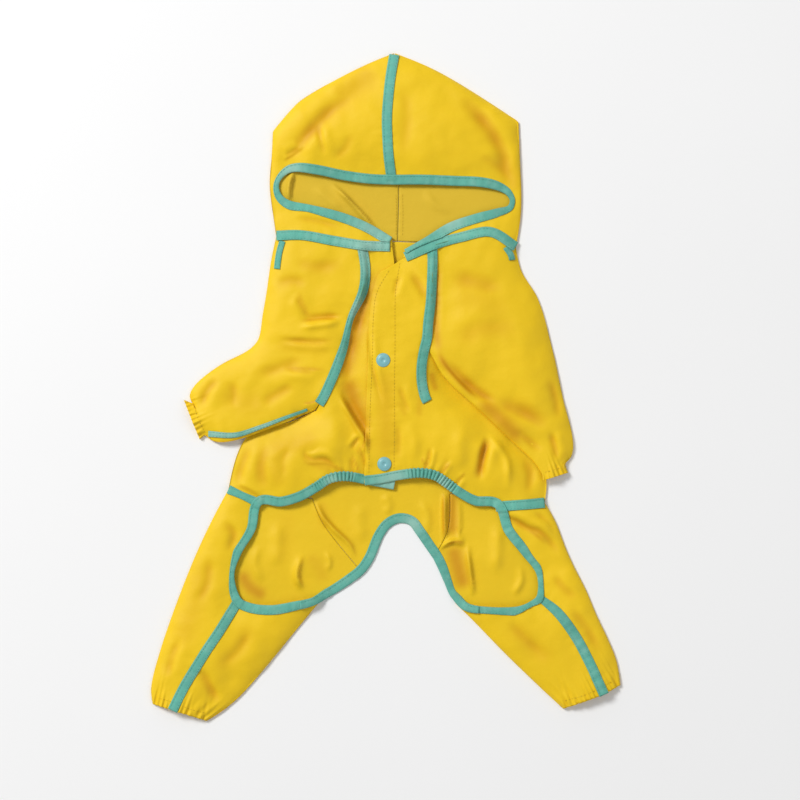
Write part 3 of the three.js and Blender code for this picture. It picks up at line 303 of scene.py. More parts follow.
# Unevenness of the loose cloth: its size, its height and where the pattern starts
UNEVENNESS = [(52, 1.3, 3.1), (21, 1.0, 7.7), (11, 0.42, 11.3)]
FLOOR_UNEVENNESS = (34, 0.5, 5.9)


def smooth_step(low, high, value):
    """0 up to low and 1 from high on, with soft ends."""
    share = np.clip((value - low) / (high - low), 0, 1)
    return share * share * (3 - 2 * share)


def tapered(along, total, share, spare):
    """1 along the middle of a line, falling to zero over a share of its length at both ends."""
    return smooth_step(0, share * total, along + spare) * smooth_step(0, share * total, total - along + spare)


def centripetal(points, samples=24):
    """A centripetal curve through plan points, as the part's edges are made."""
    p = [np.array(q, float) for q in points]
    p = [2 * p[0] - p[1], *p, 2 * p[-1] - p[-2]]
    made = []
    for a, b, c, d in zip(p, p[1:], p[2:], p[3:]):
        ab, bc, cd = (max(np.linalg.norm(v - u), 1e-6) ** 0.5 for u, v in ((a, b), (b, c), (c, d)))
        start = ((b - a) / ab - (c - a) / (ab + bc) + (c - b) / bc) * bc
        end = ((c - b) / bc - (d - b) / (bc + cd) + (d - c) / cd) * bc
        for k in range(samples):
            t = k / samples
            made.append((2 * t**3 - 3 * t**2 + 1) * b + (t**3 - 2 * t**2 + t) * start
                        + (3 * t**2 - 2 * t**3) * c + (t**3 - t**2) * end)
    return np.array(made + [p[-2]])


def evenly(path, step, start_cut=0.0, end_cut=0.0):
    """A path resampled at equal steps, shortened at both ends."""
    lengths = np.concatenate([[0], np.cumsum(np.linalg.norm(np.diff(path, axis=0), axis=1))])
    count = max(2, round((lengths[-1] - start_cut - end_cut) / step))
    stops = np.linspace(start_cut, lengths[-1] - end_cut, count + 1)
    return np.stack([np.interp(stops, lengths, path[:, k]) for k in range(2)], axis=1)


def measure(path, x, y):
    """Distance to a path (above zero on its left) and the length along it, for many points."""
    flat_x, flat_y = x.ravel(), y.ravel()
    best = np.full(flat_x.shape, np.inf)
    across = np.zeros_like(best)
    along = np.zeros_like(best)
    travelled = 0.0
    for a, b in zip(path, path[1:]):
        step = b - a
        long = math.hypot(*step) or 1e-9
        dx, dy = flat_x - a[0], flat_y - a[1]
        t = np.clip((dx * step[0] + dy * step[1]) / long**2, 0, 1)
        away = np.hypot(dx - t * step[0], dy - t * step[1])
        near = away < best
        best = np.where(near, away, best)
        across = np.where(near, np.copysign(away, step[0] * dy - step[1] * dx), across)
        along = np.where(near, travelled + t * long, along)
        travelled += long
    return across.reshape(x.shape), along.reshape(x.shape), travelled


# A trough this deep has its full painted shade
FULL_PAINTED_SHADE = 3


class Relief:
    """Heights and painted shade over the plan, on a fine grid that folds, gathers and puckers are drawn on.
    """

    STEP = 0.8
    LOW = np.array([-225.0, -315.0])
    HIGH = np.array([225.0, 315.0])

    def __init__(self):
        self.x, self.y = np.meshgrid(
            *(np.arange(low, high, self.STEP) for low, high in zip(self.LOW, self.HIGH)), indexing="ij"
        )
        self.z = np.zeros_like(self.x)
        self.tone = np.zeros_like(self.x)

    def window(self, path, margin):
        """The part of the grid round a path."""
        low = np.maximum(((path.min(0) - margin - self.LOW) / self.STEP).astype(int), 0)
        high = ((path.max(0) + margin - self.LOW) / self.STEP).astype(int) + 1
        return slice(low[0], high[0]), slice(low[1], high[1])

    def crease(self, points, width, height, lip):
        """A soft ridge or trough, with a lip of the other kind beside it."""
        path = evenly(centripetal(points, 8), 3)
        part = self.window(path, 5 * width)
        across, along, total = measure(path, self.x[part], self.y[part])
        taper = tapered(along, total, 0.35, 1)
        ragged = 1 + 0.22 * np.sin(along / 5.5 + points[0][0]) * np.sin(along / 9.7 + points[0][1])
        side = 1.0 if lip >= 0 else -1.0
        shape = np.exp(-((across / width) ** 2))
        shape -= abs(lip) * np.exp(-(((across - side * 2.1 * width) / (1.5 * width)) ** 2))
        self.z[part] += height * shape * taper * ragged

    def tuck(self, points, width, height, dark):
        """A fold with a gentle side on its left that drops sharply on its right, with painted shade on the
        drop.
        """
        path = evenly(centripetal(points, 8), 2)
        part = self.window(path, 4 * width)
        across, along, total = measure(path, self.x[part], self.y[part])
        taper = tapered(along, total, 0.3, 0.5)
        gentle = np.exp(-((np.abs(across) / width) ** 1.6))
        steep = np.exp(-((across / (0.3 * width)) ** 2))
        self.z[part] += height * np.where(across > 0, gentle, steep) * taper
        shade = np.where(across < 0, np.exp(-((across + 0.35 * width) / (0.34 * width)) ** 2), 0)
        self.tone[part] = np.maximum(self.tone[part], dark * shade * taper)

    def paint(self, points, width, depth):
        """A soft painted shade along a line."""
        path = evenly(centripetal(points, 8), 3)
        part = self.window(path, 3 * width)
        across, along, total = measure(path, self.x[part], self.y[part])
        taper = tapered(along, total, 0.25, 1)
        tone = depth * np.exp(-((across / width) ** 2)) * taper
        self.tone[part] = np.maximum(self.tone[part], tone)

    def waves(self, points, span, wave, height, reach):
        """Waves that cross a line and die away from it, each with its own length."""
        path = evenly(centripetal(points, 10), 3)
        part = self.window(path, 2.2 * reach)
        across, along, total = measure(path, self.x[part], self.y[part])
        first, last = span[0] * total, span[1] * total
        inside = smooth_step(first - 4, first + 4, along) * (1 - smooth_step(last - 4, last + 4, along))
        if span == WHOLE:
            inside = 1
        phase = 2 * math.pi * along / wave + 1.7 * np.sin(along / (2.3 * wave) + points[0][0])
        own = reach * (0.62 + 0.38 * np.sin(along / (0.83 * wave) + points[0][1]))
        fade = np.exp(-((np.abs(across) / own) ** 1.5))
        self.z[part] += height * np.sin(phase + 0.05 * across) * fade * inside

    def unevenness(self, size, height, seed):
        """Soft unevenness of the whole cloth."""
        coarse = 3
        xs, ys = self.x[::coarse, ::coarse], self.y[::coarse, ::coarse]
        places = zip(xs.ravel(), ys.ravel())
        values = np.array([noise.noise(Vector((a / size + seed, b / size, seed * 0.37))) for a, b in places])
        values = values.reshape(xs.shape)
        gx = np.clip(np.arange(self.x.shape[0]) / coarse, 0, xs.shape[0] - 1.001)
        gy = np.clip(np.arange(self.x.shape[1]) / coarse, 0, xs.shape[1] - 1.001)
        ix, iy = gx.astype(int), gy.astype(int)
        fx, fy = (gx - ix)[:, None], (gy - iy)[None, :]
        here = values[ix][:, iy] * (1 - fy) + values[ix][:, iy + 1] * fy
        after = values[ix + 1][:, iy] * (1 - fy) + values[ix + 1][:, iy + 1] * fy
        self.z += height * (here * (1 - fx) + after * fx)

    def read(self, x, y, heights=None):
        """The heights at plan points, or another layer of the grid there."""
        gx = np.clip((x - self.LOW[0]) / self.STEP, 0, self.z.shape[0] - 1.001)
        gy = np.clip((y - self.LOW[1]) / self.STEP, 0, self.z.shape[1] - 1.001)
        ix, iy = gx.astype(int), gy.astype(int)
        fx, fy = gx - ix, gy - iy
        z = self.z if heights is None else heights
        return (z[ix, iy] * (1 - fx) * (1 - fy) + z[ix + 1, iy] * fx * (1 - fy)
                + z[ix, iy + 1] * (1 - fx) * fy + z[ix + 1, iy + 1] * fx * fy)


def draw_reliefs(look):
    """The heights and the painted shade that the body, the sleeves and the under layers get on top of the
    part's own form.
    """
    body, sleeve, floor = Relief(), Relief(), Relief()
    for relief, creases in ((body, BODY_CREASES), (sleeve, SLEEVE_CREASES), (floor, FLOOR_CREASES)):
        for points, width, height, lip in creases:
            relief.crease(points, width, height * look.fold_strength, lip)
    reliefs = {"body": body, "sleeve": sleeve, "floor": floor}
    # Painted shade in the troughs of the creases, then along the tucks and strokes
    for relief in (body, sleeve):
        relief.tone = np.clip(-relief.z, 0, FULL_PAINTED_SHADE) / FULL_PAINTED_SHADE
    for name, relief in reliefs.items():
        for points, width, height, dark in TUCKS[name]:
            relief.tuck(points, width, height, dark)
        for points, width, depth in PAINTED_SHADES[name]:
            relief.paint(points, width, depth)
    seams = [HOOD_CENTRE, WAIST["left"], WAIST["right"], UNDERARM]
    for side in SIDES:
        seams += [lines[side] for lines in (HOOD_FACE, HOOD_NECK, RAGLAN, HEM, OPENING, LEG_SEAM, LOOP)]
    for relief in (body, sleeve):
        for k, seam in enumerate(seams):
            relief.waves(seam, NEARLY_WHOLE, PUCKER_WAVE + (k % 4), look.pucker_height, PUCKER_REACH)
        for row, wave, share, reach in PLACKET_PUCKERS:
            relief.waves(row, NEARLY_WHOLE, wave, share * look.pucker_height, reach)
        for size, height, start in UNEVENNESS:
            relief.unevenness(size, height, start)
        for gather in GATHERS:
            relief.waves(*gather)
    for waves in FLOOR_WAVES:
        floor.waves(*waves)
    floor.unevenness(*FLOOR_UNEVENNESS)
    for cuff in CUFFS.values():
        floor.waves(cuff, WHOLE, *CUFF_FLOOR_WAVES)
    return reliefs


def mesh_object(name, bm, material, *more):
    """An object with the smooth faces of bm, which is freed."""
    mesh = bpy.data.meshes.new(name)
    bm.to_mesh(mesh)
    bm.free()
    for face in mesh.polygons:
        face.use_smooth = True
    for each in (material, *more):
        mesh.materials.append(each)
    piece = bpy.data.objects.new(name, mesh)
    bpy.context.scene.collection.objects.link(piece)
    return piece


WELD = 2e-5
SAME_PLANE = 0.9
CORNER = math.radians(58)


def smoothed_copy(node, levels):
    """The node's wall as smooth quads. Its cut edges keep their corners."""
    bm = bmesh.new()
    bm.from_mesh(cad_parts[node].data)
    bmesh.ops.remove_doubles(bm, verts=bm.verts, dist=WELD)
    bmesh.ops.join_triangles(
        bm, faces=bm.faces, angle_face_threshold=SAME_PLANE, angle_shape_threshold=SAME_PLANE)
    crease = bm.edges.layers.float.new("crease_edge")
    for edge in bm.edges:
        if len(edge.link_faces) == 2 and edge.calc_face_angle(0) > CORNER:
            edge[crease] = 1
    piece = mesh_object(f"{node}_base", bm, None)
    subdivision = piece.modifiers.new("smooth", "SUBSURF")
    subdivision.levels = subdivision.render_levels = levels
    made = bmesh.new()
    made.from_object(piece, bpy.context.evaluated_depsgraph_get())
    bpy.data.objects.remove(piece)
    return made


FACING_UP = 0.12
CLEAR_OF_FACE = 0.0003
LONGEST_EDGE = 0.0021


def refine(bm, cover):
    """Splits the faces that are seen from above, and their longest edges once more."""
    seen = [
        f for f in bm.faces
        if f.normal.z > FACING_UP
        and cover.ray_cast(f.calc_center_median() + f.normal * CLEAR_OF_FACE, UP)[0] is None
    ]
    edges = {e for f in seen for e in f.edges}
    made = bmesh.ops.subdivide_edges(bm, edges=list(edges), cuts=1, use_grid_fill=True)
    parts = [e for e in made["geom"] if isinstance(e, bmesh.types.BMEdge) and e.calc_length() > LONGEST_EDGE]
    bmesh.ops.subdivide_edges(bm, edges=parts, cuts=1, use_grid_fill=True)


# The panels, and the relief that their upper layer gets
PANELS = {
    "hood_left": "body", "hood_right": "body", "back_panel": "floor",
    "sleeve_left": "sleeve", "sleeve_right": "sleeve", "belly_left": "body",
    "belly_right": "body", "leg_left": "body", "leg_right": "body",
}
CLEAR = 0.00003
OUTER, INNER = 1, 2
LEVEL = 0.5
SMOOTH_EDGE = 0.62


def crossed(tree, start, direction):
    """How many faces a ray meets."""
    count = 0
    hit = tree.ray_cast(start + direction * CLEAR, direction)[0]
    while hit is not None:
        count += 1
        hit = tree.ray_cast(hit + direction * CLEAR, direction)[0]
    return count


def mark_skins(bm):
    """Marks the faces of the cloth's outer and inner side: by the layers over and under them where these tell
    the sides apart, and from there over the smooth edges."""
    bm.normal_update()
    skin = bm.faces.layers.int.new("skin")
    tree = BVHTree.FromBMesh(bm)
    front = deque()
    for face in bm.faces:
        if abs(face.normal.z) < LEVEL:
            continue
        facing = UP if face.normal.z > 0 else -UP
        centre = face.calc_center_median()
        before = crossed(tree, centre, facing)
        if before >= 2:
            face[skin] = INNER
        elif before == 0 and crossed(tree, centre, -facing) >= 3:
            face[skin] = OUTER
        if face[skin]:
            front.append(face)
    while front:
        face = front.popleft()
        for edge in face.edges:
            for other in edge.link_faces:
                if not other[skin] and face.normal.dot(other.normal) > SMOOTH_EDGE:
                    other[skin] = face[skin]
                    front.append(other)
    for face in bm.faces:
        if not face[skin] and abs(face.normal.z) > LEVEL:
            face[skin] = OUTER if face.normal.z > 0 else INNER


SPREADS = 8


def layers_of(bm):
    """For each vertex: 1 on an upper layer and 0 on an under layer, and 1 on the cloth's inner side."""
    skin = bm.faces.layers.int["skin"]
    upper = np.full(len(bm.verts), np.nan)
    inside = np.full(len(bm.verts), np.nan)
    for k, vertex in enumerate(bm.verts):
        out = sum(f.normal.z for f in vertex.link_faces if f[skin] == OUTER)
        back = sum(f.normal.z for f in vertex.link_faces if f[skin] == INNER)
        if out or back:
            upper[k] = (out > 0) if out else (back < 0)
            inside[k] = 0.0 if out else 1.0
    bm.verts.index_update()
    for _ in range(SPREADS):
        for k in np.flatnonzero(np.isnan(upper)):
            near = [e.other_vert(bm.verts[k]).index for e in bm.verts[k].link_edges]
            known = [n for n in near if not np.isnan(upper[n])]
            if known:
                upper[k] = upper[known[0]]
                inside[k] = inside[known[0]]
    return np.nan_to_num(upper), np.nan_to_num(inside)


# Where a belly front is drawn a little further under the sleeve: centre, shift and reach
UNDER_SLEEVE = {
    "belly_left": ((-72, -24), (0.7, 2.0), 16),
    "belly_right": ((46, 18), (1.9, 1.1), 22),
}
UNDER_LAYER_TOP = 3.7
WALL = 1.0
# How the domes are lowered: a rise of FULL_RISE and less is lessened by a power and a share
FULL_RISE = 9.5
FLATTER = 1.4
BODY_SHARE = 0.82
EDGE_SHARE = 0.32
EDGE_REACH = 22


def settled(name, bm, upper, x, y, z):
    """The upper layers lie flatter than a full dome, beside their folded edges and beside free edges."""
    base = np.full(len(z), WALL)
    if PANELS[name] == "sleeve":
        own = BVHTree.FromBMesh(bm)
        for k in np.flatnonzero(upper > 0):
            hit = own.ray_cast(Vector((x[k], y[k], z[k] - 1.6 * WALL)) * MM, -UP)[0]
            base[k] = hit.z / MM if hit is not None else WALL
    above = np.clip(z - base, 0, FULL_RISE)
    near = np.zeros_like(x)
    if PANELS[name] == "body":
        for edge in (*HOOD_FACE.values(), *HEM.values(), *OPENING.values()):
            away = np.abs(measure(evenly(centripetal(edge, 8), 4), x, y)[0])
            near = np.maximum(near, np.exp(-((away / EDGE_REACH) ** 2)))
    share = BODY_SHARE - EDGE_SHARE * near
    flatter = FULL_RISE * (above / FULL_RISE) ** FLATTER * share
    return np.where(upper > 0, z - above + flatter, z)


# Where an upper layer's own relief starts and is whole, by its height over the surface
RELIEF_STARTS, RELIEF_WHOLE = 1.6, 5.0
DEEPEST_UNDER = -1.0
# How far an upper layer keeps clear of the one below, and how much more its outer side does
LAYER_GAP, OUTER_GAP = 1.3, 0.7
LEAST_HEIGHT = 0.02
# How much of the inner side's colour shows on it, in the hood and elsewhere
HOOD_INSIDE, OTHER_INSIDE = 1.0, 0.12


def dress_panel(name, bm, reliefs, material):
    """The panel's wall with the heights and the painted shade of its reliefs."""
    kind = PANELS[name]
    bm.normal_update()
    bm.verts.ensure_lookup_table()
    upper, inside = layers_of(bm)
    if kind == "floor":
        upper, inside = np.zeros_like(upper), 1 - inside
    co = np.array([v.co for v in bm.verts]) / MM
    x, y, z = co.T
    if kind == "body":
        upper = np.where(z > UNDER_LAYER_TOP, 1.0, upper)
    if name in UNDER_SLEEVE:
        (cx, cy), shift, reach = UNDER_SLEEVE[name]
        pull = np.exp(-((x - cx) ** 2 + (y - cy) ** 2) / reach**2)
        x, y = x + shift[0] * pull, y + shift[1] * pull
    over = upper * smooth_step(RELIEF_STARTS, RELIEF_WHOLE, z)
    z = settled(name, bm, upper, co[:, 0], co[:, 1], z)
    top = reliefs["sleeve" if kind == "sleeve" else "body"]
    floor = reliefs["floor"]
    floor_z = floor.read(x, y)
    below = np.maximum(floor_z, DEEPEST_UNDER) * (1 - upper)
    below = np.where(below > 0, below, below * np.clip(z - 0.3 * WALL, 0, 0.6 * WALL)) * inside
    new_z = z + over * top.read(x, y) + below
    new_z = np.where(over > 0, np.maximum(new_z, np.minimum(z, 1.65 * over)), new_z)
    if kind == "body":
        clear = LAYER_GAP + np.maximum(floor_z, 0) + OUTER_GAP * (1 - inside)
        new_z = np.where(over > 0.5, np.maximum(new_z, clear), new_z)
    co = np.stack([x, y, np.maximum(new_z, LEAST_HEIGHT)], axis=1) * MM
    piece = mesh_object(name + "_cloth", bm, material)
    mesh = piece.data
    mesh.vertices.foreach_set("co", co.ravel())
    # Painted shade of the folds, tucks and strokes, from the reliefs, and the share of the inner side's
    # colour
    deep = top.read(x, y, top.tone) * over + floor.read(x, y, floor.tone) * (1 - upper)
    dull = inside * (HOOD_INSIDE if name.startswith("hood") else OTHER_INSIDE)
    for label, values in (("painted_shade", deep), ("inside", dull)):
        mesh.attributes.new(label, "FLOAT", "POINT").data.foreach_set("value", values.astype(np.float32))
    mesh.update()
    return piece


class Ground:
    """Reads heights from above, in millimetres."""

    ABOVE_ALL = 100

    def __init__(self, pieces):
        self.trees = []
        for piece in pieces:
            self.add(piece)

    def add(self, piece):
        bm = bmesh.new()
        bm.from_mesh(piece.data)
        self.trees.append(BVHTree.FromBMesh(bm))
        bm.free()

    def height(self, x, y):
        best = 0.0
        for tree in self.trees:
            hit = tree.ray_cast(Vector((x, y, self.ABOVE_ALL)) * MM, -UP)[0]
            if hit is not None:
                best = max(best, hit.z / MM)
        return best


# A binding's section: how far each column lies from the line, how far it drops, and where its height is read.
# Round an edge, columns above zero lie on the cloth and the others turn round the edge.
OVER_SEAM = [(off, drop, off) for off, drop in (
    (4.3, 0.5), (4.05, 0.12), (3.5, 0.1), (2.9, 0.22), (1.6, 0.0), (0, -0.08),
    (-1.6, 0.0), (-2.9, 0.22), (-3.5, 0.1), (-4.05, 0.12), (-4.3, 0.5))]
ROUND_EDGE = [(off, drop, max(off, 0.9)) for off, drop in (
    (7.2, 0.5), (6.95, 0.12), (6.4, 0.08), (5.8, 0.22), (4.2, -0.02), (2.4, -0.05),
    (0.8, 0.0), (-0.4, 0.08), (-1.0, 0.45), (-1.15, 1.0), (-0.9, 1.5), (0.2, 1.75))]
STITCH_COLUMNS = {len(OVER_SEAM): (3, 7), len(ROUND_EDGE): (3,)}
# How far a binding round an edge reaches over the cloth, and past the edge on the other side
WIDEST, TURNED = 7.2, -1.15
# Columns this close to an edge keep their place where the binding is narrow
EDGE_COLUMNS = 1.5
BINDING_WALL = 0.55
LEAST_BINDING = 0.36
NARROWEST = 0.36
STEP = 1.3
FINE_STEP = 0.6
# The length along which two bindings cross over to each other's side
JOINT = 28
# Heights are the highest of these places across a column
PROBES = (-0.8, 0, 0.8)
# How far a binding wanders from its line, and the small waves of one that isn't gathered
WANDER_WAVE, WANDER = 26, 0.9
SMALL_WAVE = 0.16
# Gathers of a binding on elastic: the wave's length and height, and how far they fade outwards and inwards
GATHER_WAVE, GATHER_HEIGHT, FADE_OUT, FADE_IN = 3.0, 1.1, 4, 3
# Where an edge turns on its side and its binding is seen narrower: centre, reach and share
NARROW_SPOTS = [
    ((-97, 184), 17, 0.45), ((116, 167), 15, 0.42), ((-70, 159), 15, 0.72), ((-32, 57), 24, 0.6),
    ((-140, -167), 17, 0.4), ((-132, -136), 18, 0.75), ((142, -176), 17, 0.4), ((135, -156), 13, 0.65),
    ((127, -193), 12, 0.42), ((93, -200), 26, 0.65), ((57, -184), 16, 0.68), ((-66, -190), 20, 0.82),
    ((-127, -94), 14, 0.7),
]


def narrowed(place, share):
    """The share of its width that a binding keeps at a place."""
    for centre, reach, narrow in NARROW_SPOTS:
        near = math.exp(-((math.dist(place, centre) / reach) ** 2))
        share = min(share, 1 - (1 - narrow) * near)
    return share


def spread(line, side, section, ground, width, keep, crossing, step):
    """The places and heights of a binding's columns along its line."""
    tangent = np.gradient(line, axis=0)
    tangent /= np.linalg.norm(tangent, axis=1)[:, None]
    left = np.stack([-tangent[:, 1], tangent[:, 0]], axis=1) * (side or 1)
    count = len(line)
    along = np.arange(count) * step
    total = along[-1]
    heights = np.empty((count, len(section)))
    places = np.empty((count, len(section), 2))
    wander = WANDER * np.array([noise.noise(Vector((s / WANDER_WAVE, *line[0]))) for s in along])
    for k in range(count):
        scale = narrowed(line[k], width(along[k] / total) if width else 1.0)
        if keep:
            room = min(abs(measure(edge, line[k][:1], line[k][1:])[0][0]) - gap for edge, gap in keep)
            scale = max(NARROWEST, min(scale, room / WIDEST))
        crossed_over = 0.0
        if crossing[0]:
            crossed_over = 1 - smooth_step(0, crossing[0], along[k])
        if crossing[1]:
            crossed_over += smooth_step(total - crossing[1], total, along[k])
        moved = -(WIDEST * scale + TURNED) * crossed_over
        for c, (off, _, read) in enumerate(section):
            grown = scale if abs(off) > EDGE_COLUMNS or not side else 1.0
            sway = wander[k] * (0.35 if side == 0 else 0.25 * (off > 2)) + moved
            places[k, c] = line[k] + left[k] * (off * grown + sway)
            heights[k, c] = max(
                ground.height(*(line[k] + left[k] * (read * grown + sway + aside))) for aside in PROBES)
    return left, places, bridged(heights, count)


def gathered(along, crinkle):
    """How much of its gathers a binding has at a length: 1 between the two lengths of crinkle."""
    if not crinkle:
        return 0.0
    first, last = crinkle
    share = smooth_step(first - FADE_OUT, first + FADE_IN, along)
    return share * (1 - smooth_step(last - FADE_IN, last + FADE_OUT, along))


def binding(name, path, ground, materials, cut=(0, 0), side=0, width=None, lift=0.42, crinkle=None, keep=(),
            crossing=(0, 0), step=STEP):
    """A bias binding laid along a path: over a seam (side 0), or round an edge with its cloth on the left (1)
    or right (-1). It crosses over to the edge's other side along the first and last millimetres of crossing,
    is gathered between the two lengths of crinkle, and stays clear of the edges in keep."""
    line = evenly(path, step, *cut)
    section = ROUND_EDGE if side else OVER_SEAM
    left, places, heights = spread(line, side, section, ground, width, keep, crossing, step)
    rows = []
    for k, along in enumerate(np.arange(len(line)) * step):
        squeeze = gathered(along, crinkle)
        small = SMALL_WAVE * math.sin(along / 1.25 + 1.3 * math.sin(along / 6.1))
        wave = math.sin(2 * math.pi * along / GATHER_WAVE + 1.1 * math.sin(along / 5.3))
        strong = GATHER_HEIGHT * math.copysign(abs(wave) ** 0.7, wave)
        raised = lift(along) if callable(lift) else lift
        row = []
        for c, (off, drop, _) in enumerate(section):
            crown = 1 - min(1, abs((off - 3) / 4.4 if side else off / 4.3)) ** 3
            ripple = (small * (1 - squeeze) + strong * squeeze) * (0.35 + 0.65 * crown)
            plan = places[k, c] + left[k] * (0.35 * strong * squeeze * (1 if off > 0 else -0.6))
            z = heights[k, c] + raised - drop + BINDING_WALL / 2 + ripple + 0.5 * squeeze
            row.append(Vector((*plan, max(z, LEAST_BINDING))) * MM)
        rows.append(row)
    return ribbon(name, rows, materials, step)


def bridged(heights, count):
    """Smooths the read heights along a binding and lifts it over the gap of a seam."""
    wide = np.pad(heights, ((0, 0), (1, 1)), mode="edge")
    heights = np.maximum(heights, np.minimum(wide[:, :-2], wide[:, 2:]))
    wide = np.pad(heights, ((0, 0), (2, 2)), mode="edge")
    heights = np.maximum(heights, np.minimum(wide[:, :-4], wide[:, 4:]))
    padded = np.pad(heights, ((2, 2), (0, 0)), mode="edge")
    highest = np.max([padded[k:k + count] for k in range(1, 4)], axis=0)
    padded = np.pad(highest, ((2, 2), (0, 0)), mode="edge")
    smooth = sum(padded[k:k + count] * w for k, w in enumerate((0.1, 0.22, 0.36, 0.22, 0.1)))
    wide = np.pad(smooth, ((0, 0), (1, 1)), mode="edge")
    across = (wide[:, :-2] + 2 * wide[:, 1:-1] + wide[:, 2:]) / 4
    return np.maximum(across, smooth - 0.15)


def ribbon(name, rows, materials, step):
    """A closed thin wall through rows of points, with its stitches."""
    bm = bmesh.new()
    half = BINDING_WALL * MM / 2
    normals = []
    for k, row in enumerate(rows):
        ahead, behind = rows[min(k + 1, len(rows) - 1)], rows[max(k - 1, 0)]
        normals.append([
            ((row[min(c + 1, len(row) - 1)] - row[max(c - 1, 0)]).cross(ahead[c] - behind[c])).normalized()
            for c in range(len(row))
        ])
    flip = 1 if sum(n.z for n in normals[len(rows) // 2]) > 0 else -1
    top = [[bm.verts.new(p + n * half * flip) for p, n in zip(r, ns)] for r, ns in zip(rows, normals)]
    low = [[bm.verts.new(p - n * half * flip) for p, n in zip(r, ns)] for r, ns in zip(rows, normals)]
    last = len(rows[0]) - 1
    for k in range(len(rows) - 1):
        for c in range(last):
            bm.faces.new((top[k][c], top[k][c + 1], top[k + 1][c + 1], top[k + 1][c]))
            bm.faces.new((low[k][c], low[k + 1][c], low[k + 1][c + 1], low[k][c + 1]))
        bm.faces.new((top[k][0], top[k + 1][0], low[k + 1][0], low[k][0]))
        bm.faces.new((top[k][last], low[k][last], low[k + 1][last], top[k + 1][last]))
    for k in (0, len(rows) - 1):
        for c in range(last):
            bm.faces.new((top[k][c], low[k][c], low[k][c + 1], top[k][c + 1]))
    for column in STITCH_COLUMNS[len(rows[0])]:
        lay_stitches(bm, [r[column].co + UP * (STITCH_RISE * MM) for r in top], step)
    bmesh.ops.recalc_face_normals(bm, faces=bm.faces)
    return mesh_object(name, bm, *materials)


STITCH_PITCH = 2.9
STITCH_LENGTH = 2.1
STITCH_RISE = 0.12
ROW_STEP = 1.5
# Half the thread's thickness, its rise in the middle of a stitch, and how far the stitch's ends drop
THREAD, THREAD_RISE, TIP_DROP = 0.221, 0.08, 0.1


def lay_stitches(bm, line, step, material_index=1):
    """Short slim stitches along a line of points."""
    pitch = STITCH_PITCH / step
    count = int((len(line) - 2) / pitch)

    def at(stop):
        k = min(int(stop), len(line) - 2)
        return line[k].lerp(line[k + 1], stop - k)

    for n in range(count):
        start = 0.5 + n * pitch
        a, b = at(start), at(start + STITCH_LENGTH / step)
        lengthwise = (b - a).normalized()
        aside = lengthwise.cross(UP).normalized()
        up = aside.cross(lengthwise)
        rings = []
        for share in (0.18, 0.82):
            middle = a.lerp(b, share) + up * (THREAD_RISE * MM)
            rings.append([
                bm.verts.new(middle + (aside * math.cos(t) + up * math.sin(t)) * THREAD * MM)
                for t in (math.pi * q / 2 + math.pi / 4 for q in range(4))
            ])
        tips = [bm.verts.new(end - up * (TIP_DROP * MM)) for end in (a, b)]
        faces = []
        for q in range(4):
            r = (q + 1) % 4
            faces.append(bm.faces.new((rings[0][q], rings[0][r], rings[1][r], rings[1][q])))
            faces.append(bm.faces.new((tips[0], rings[0][r], rings[0][q])))
            faces.append(bm.faces.new((tips[1], rings[1][q], rings[1][r])))
        for face in faces:
            face.material_index = material_index


def stitch_row(name, points, ground, material, lift=0.1):
    """A row of stitches in the cloth along a line."""
    line = evenly(centripetal(points), ROW_STEP)
    bm = bmesh.new()
    lay_stitches(bm, [Vector((*p, ground.height(*p) + lift)) * MM for p in line], ROW_STEP, 0)
    bmesh.ops.recalc_face_normals(bm, faces=bm.faces)
    return mesh_object(name, bm, material)


class Value:
    """A shader socket that can be used in sums. Numbers go in as they are."""

    def __init__(self, graph, socket):
        self.graph = graph
        self.socket = socket

    def maths(self, operation, *terms):
        return self.graph.node("ShaderNodeMath", {"operation": operation}, dict(enumerate(terms)))

    def __add__(self, other):
        return self.maths("ADD", self, other)

    def __sub__(self, other):
        return self.maths("SUBTRACT", self, other)

    def __rsub__(self, other):
        return self.maths("SUBTRACT", other, self)

    def __mul__(self, other):
        return self.maths("MULTIPLY", self, other)

    def __truediv__(self, other):
        return self.maths("DIVIDE", self, other)

    __radd__ = __add__
    __rmul__ = __mul__

    def sine(self):
        return self.maths("SINE", self)

    def clipped(self):
        return self.graph.node("ShaderNodeClamp", {}, {"Value": self})


